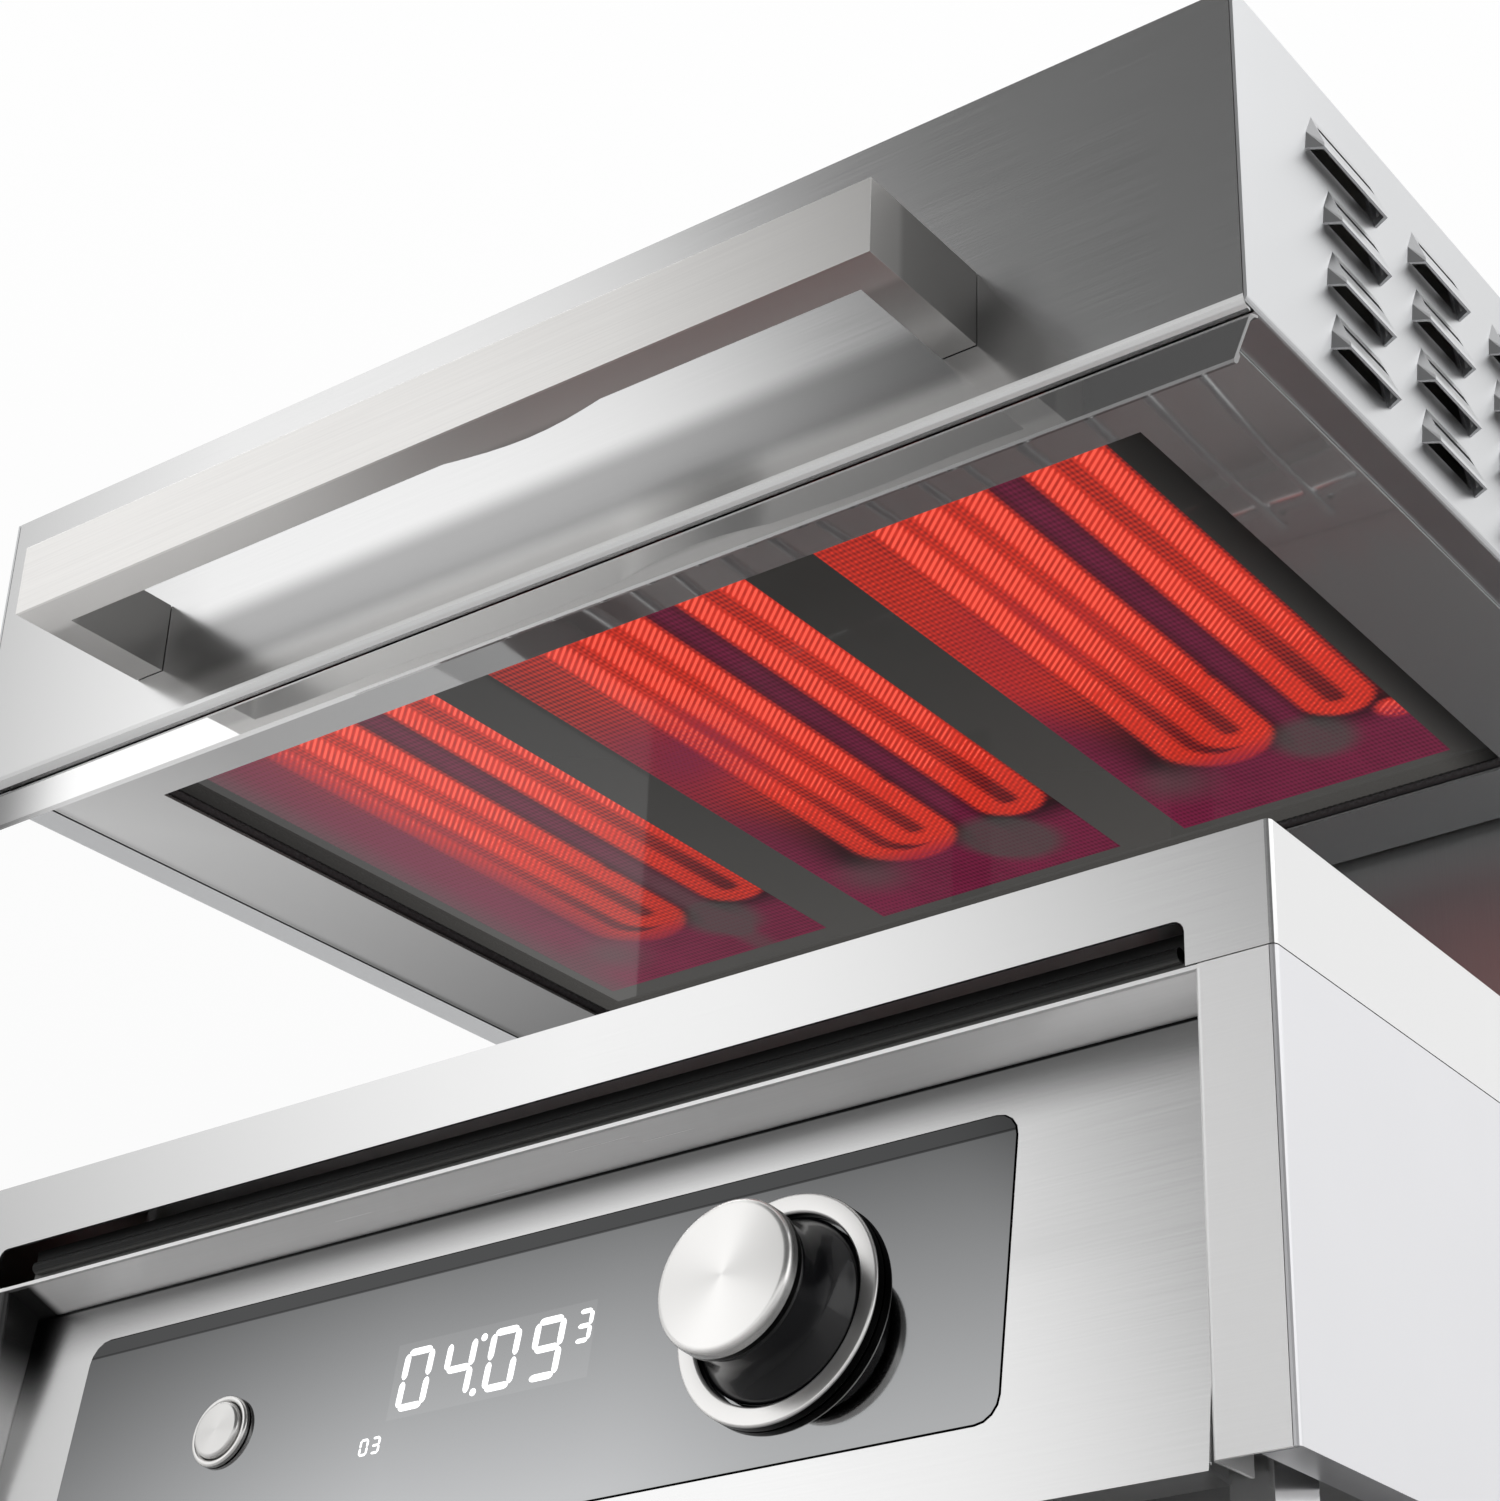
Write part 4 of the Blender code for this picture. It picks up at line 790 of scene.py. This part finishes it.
def make_rope(material):
    """Flat braided rope laid round the glass opening, woven of crossing strands."""
    low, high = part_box("rope_seal")
    half_w, half_h, corner = ROPE_HALF_W * MM, ROPE_HALF_H * MM, ROPE_CORNER * MM
    middle = (low + high) * 0.5
    span_x, span_y = high.x - middle.x - half_w - corner, high.y - middle.y - half_w - corner
    stations = []
    for sx, sy, start in ((1, -1, -90), (1, 1, 0), (-1, 1, 90), (-1, -1, 180)):
        for i in range(13):
            angle = radians(start + 7.5 * i)
            stations.append((Vector((sx * span_x, sy * span_y, 0.0)), angle))
    points, outs = [], []
    for i, (centre, angle) in enumerate(stations):
        out = Vector((cos(angle), sin(angle), 0.0))
        here = middle + centre + out * corner
        next_centre, next_angle = stations[(i + 1) % len(stations)]
        there = (middle + next_centre
                 + Vector((cos(next_angle), sin(next_angle), 0.0)) * corner)
        pieces = max(1, round((there - here).length / (1.05 * MM)))
        for k in range(pieces):
            points.append(here.lerp(there, k / pieces))
            outs.append(out)

    def section(i):
        ring = []
        turn = 2 * pi * i / BRAID_PITCH
        for k in range(ROPE_SIDES):
            a = 2 * pi * k / ROPE_SIDES
            size = 0.86 + 0.14 * sin(turn + 3 * a) * sin(turn - 3 * a)
            across, up = cos(a), sin(a)
            wide = half_w * size * abs(across) ** 0.7 * (1 if across > 0 else -1)
            tall = half_h * size * abs(up) ** 0.7 * (1 if up > 0 else -1)
            ring.append(points[i] + outs[i] * wide + Vector((0.0, 0.0, tall)))
        return ring

    bm = bmesh.new()
    sweep(bm, points, section, True)
    add_piece("rope_seal_braided", bm, material, "hood", ["rope_seal"], sharp=80.0)


def add_rod(bm, route, radius, sides=14):
    """Round rod through points that lie in one plane, with domed ends."""
    route = [Vector(point) for point in route]
    heads = [(route[0], route[0] - route[1]), (route[-1], route[-1] - route[-2])]
    caps = []
    for point, way in heads:
        way = way.normalized()
        caps.append([(point + way * radius * (sin(a) - 1.0), radius * max(cos(a), 0.05))
                     for a in (radians(30.0 * k) for k in range(1, 4))])
    stations = caps[0][::-1] + [(point, radius) for point in route[1:-1]] + caps[1]
    ways = []
    for i in range(len(stations)):
        before, after = stations[max(i - 1, 0)][0], stations[min(i + 1, len(stations) - 1)][0]
        ways.append((after - before).normalized())
    side = Vector((1.0, 0.0, 0.0)) if abs(ways[0].x) < 0.5 else Vector((0.0, 1.0, 0.0))

    def section(i):
        point, size = stations[i]
        up = ways[i].cross(side).normalized()
        across = up.cross(ways[i])
        return [point + (across * cos(2 * pi * k / sides) + up * sin(2 * pi * k / sides)) * size
                for k in range(sides)]

    sweep(bm, stations, section, False)


def make_rack(material):
    """Grill rack of round chromed rods, welded on three cross rods and bent down at the ends."""
    low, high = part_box("wire_rack")
    radius = ROD_RADIUS * MM
    top = high.z - radius
    bend, drop = 9.0 * MM, 3.4 * MM
    bm = bmesh.new()
    for k in range(ROD_COUNT):
        x = (FIRST_ROD_X + ROD_PITCH * k) * MM
        front, rear = low.y + 1.2 * MM, high.y - 1.2 * MM
        route = [(x, front, top - drop)]
        for i in range(7):
            t = i / 6
            route.append((x, front + bend * (0.25 + 0.9 * t), top - drop * (1 - t) ** 2 * 0.75))
        for i in range(7):
            t = 1 - i / 6
            route.append((x, rear - bend * (0.25 + 0.9 * t), top - drop * (1 - t) ** 2 * 0.75))
        route.append((x, rear, top - drop))
        add_rod(bm, route, radius)
    middle, pitch = 0.5 * (low.y + high.y), CROSS_ROD_PITCH * MM
    for y in (middle - pitch, middle, middle + pitch):
        z = top - CROSS_ROD_DROP * MM
        add_rod(bm, [(low.x, y, z), (0.5 * low.x, y, z), (0.5 * high.x, y, z), (high.x, y, z)],
                radius)
    add_piece("wire_rack_rods", bm, material, "rack", ["wire_rack"], sharp=60.0)


def softened(name, width, angle=40.0, segments=2):
    """Rounds a CAD node's sharp edges without touching its mesh."""
    node = NODES[name]
    weld = node.modifiers.new("weld", "WELD")
    weld.merge_threshold = 1e-5
    smooth = node.modifiers.new("smooth", "NODES")
    smooth.node_group = smooth_group()
    bevel = node.modifiers.new("bevel", "BEVEL")
    bevel.width = width * MM
    bevel.segments = segments
    bevel.limit_method = "ANGLE"
    bevel.angle_limit = radians(angle)
    normals = node.modifiers.new("normals", "WEIGHTED_NORMAL")
    normals.keep_sharp = False


def smooth_group():
    """Geometry nodes that mark every face as smooth."""
    group = bpy.data.node_groups.new("all_smooth", "GeometryNodeTree")
    group.interface.new_socket("Geometry", in_out="INPUT", socket_type="NodeSocketGeometry")
    group.interface.new_socket("Geometry", in_out="OUTPUT", socket_type="NodeSocketGeometry")
    start, end = group.nodes.new("NodeGroupInput"), group.nodes.new("NodeGroupOutput")
    smooth = group.nodes.new("GeometryNodeSetShadeSmooth")
    group.links.new(start.outputs[0], smooth.inputs[0])
    group.links.new(smooth.outputs[0], end.inputs[0])
    return group


# ---------------------------------------------------------------- stage, light and camera
def make_floor():
    """Pale floor that hides nothing from a camera placed lower than it."""
    bm = bmesh.new()
    bmesh.ops.create_circle(bm, cap_ends=True, segments=96, radius=FLOOR_RADIUS)
    mesh = bpy.data.meshes.new("floor")
    bm.to_mesh(mesh)
    bm.free()
    floor = bpy.data.objects.new("floor", mesh)
    bpy.context.scene.collection.objects.link(floor)
    floor.location.z = cad_low.z - 0.0005
    material = bpy.data.materials.new("pale_floor")
    material.use_nodes = True
    tree = material.node_tree
    shader = tree.nodes["Principled BSDF"]
    shader.inputs["Base Color"].default_value = (0.80, 0.80, 0.80, 1.0)
    shader.inputs["Roughness"].default_value = 0.6
    clear = tree.nodes.new("ShaderNodeBsdfTransparent")
    below = tree.nodes.new("ShaderNodeNewGeometry")
    blend = tree.nodes.new("ShaderNodeMixShader")
    tree.links.new(below.outputs["Backfacing"], blend.inputs[0])
    tree.links.new(shader.outputs[0], blend.inputs[1])
    tree.links.new(clear.outputs[0], blend.inputs[2])
    tree.links.new(blend.outputs[0], tree.nodes["Material Output"].inputs["Surface"])
    floor.data.materials.append(material)


def heading(azimuth, elevation):
    """Unit vector: azimuth 0 points to the front (-Y), 90 to the right (+X)."""
    a, e = radians(azimuth), radians(elevation)
    return Vector((sin(a) * cos(e), -cos(a) * cos(e), sin(e)))


def make_world():
    """A pale studio: white all round, with soft darker and brighter areas."""
    world = bpy.data.worlds.new("studio")
    bpy.context.scene.world = world
    world.use_nodes = True
    tree = world.node_tree
    background = tree.nodes["Background"]
    coords = tree.nodes.new("ShaderNodeTexCoord").outputs["Generated"]
    lobes = (
        # azimuth, elevation, inner and outer radius in degrees, brightness
        (-62.0, 20.0, 6.0, 17.0, 0.68),
        (-43.5, 25.0, 5.0, 15.0, 1.42),
        (85.0, 15.0, 12.0, 28.0, 1.50),
        (150.0, 22.0, 10.0, 30.0, 1.15),
        (-24.0, 22.0, 4.0, 12.0, 0.80),
        (-6.5, 46.0, 24.0, 28.5, 0.14),
        (35.0, 43.0, 25.0, 35.0, 0.14),
    )
    split = tree.nodes.new("ShaderNodeSeparateXYZ")
    tree.links.new(coords, split.inputs[0])
    level = Field(tree, split.outputs["Z"]).ramp(-0.3, 0.9, 0.92, 1.0)
    for azimuth, elevation, inner, outer, bright in lobes:
        dot = tree.nodes.new("ShaderNodeVectorMath")
        dot.operation = "DOT_PRODUCT"
        dot.inputs[1].default_value = heading(azimuth, elevation)
        tree.links.new(coords, dot.inputs[0])
        near = Field(tree, dot.outputs["Value"]).ramp(cos(radians(outer)), cos(radians(inner)))
        level = level + near * ((level * -1.0) + bright)
    colour = tree.nodes.new("ShaderNodeCombineColor")
    for slot in colour.inputs[:3]:
        tree.links.new(level.socket, slot)
    tree.links.new(colour.outputs[0], background.inputs["Color"])
    background.inputs["Strength"].default_value = 1.0


def make_lights():
    def panel(name, azimuth, elevation, distance, size, power):
        lamp = bpy.data.lights.new(name, "AREA")
        lamp.shape = "RECTANGLE"
        lamp.size, lamp.size_y = size
        lamp.energy = power
        obj = bpy.data.objects.new(name, lamp)
        bpy.context.scene.collection.objects.link(obj)
        toward = heading(azimuth, elevation)
        obj.location = Vector((0.0, 0.0, 0.3)) + toward * distance
        obj.rotation_mode = "QUATERNION"
        obj.rotation_quaternion = toward.to_track_quat("Z", "Y")

    panel("key_softbox", -95.0, 50.0, 2.6, (1.4, 1.4), 14.0)
    panel("side_softbox", 110.0, 40.0, 2.6, (1.2, 1.6), 10.0)


def make_camera():
    """Low three-quarter view from the front right, looking up into the heating zones."""
    data = bpy.data.cameras.new("camera")
    camera = bpy.data.objects.new("camera", data)
    bpy.context.scene.collection.objects.link(camera)
    data.lens = 74.014
    data.sensor_fit = "HORIZONTAL"
    data.sensor_width = 36.0
    data.shift_x, data.shift_y = -0.18399, 0.01289
    turn = (Matrix.Rotation(radians(CAMERA_YAW), 4, "Z")
            @ Matrix.Rotation(pi / 2 + radians(CAMERA_PITCH), 4, "X")
            @ Matrix.Rotation(radians(CAMERA_ROLL), 4, "Z"))
    camera.matrix_world = Matrix.Translation(CAMERA_AT) @ turn
    data.clip_start, data.clip_end = 0.02, 50.0
    bpy.context.scene.camera = camera


bpy.context.scene.view_settings.view_transform = "Standard"
looks = dress()
make_controls(looks)
make_display()
make_rope(looks["rope_seal"])
make_rack(looks["wire_rack"])
softened("handle", 0.7)
make_floor()
make_world()
make_lights()
make_camera()
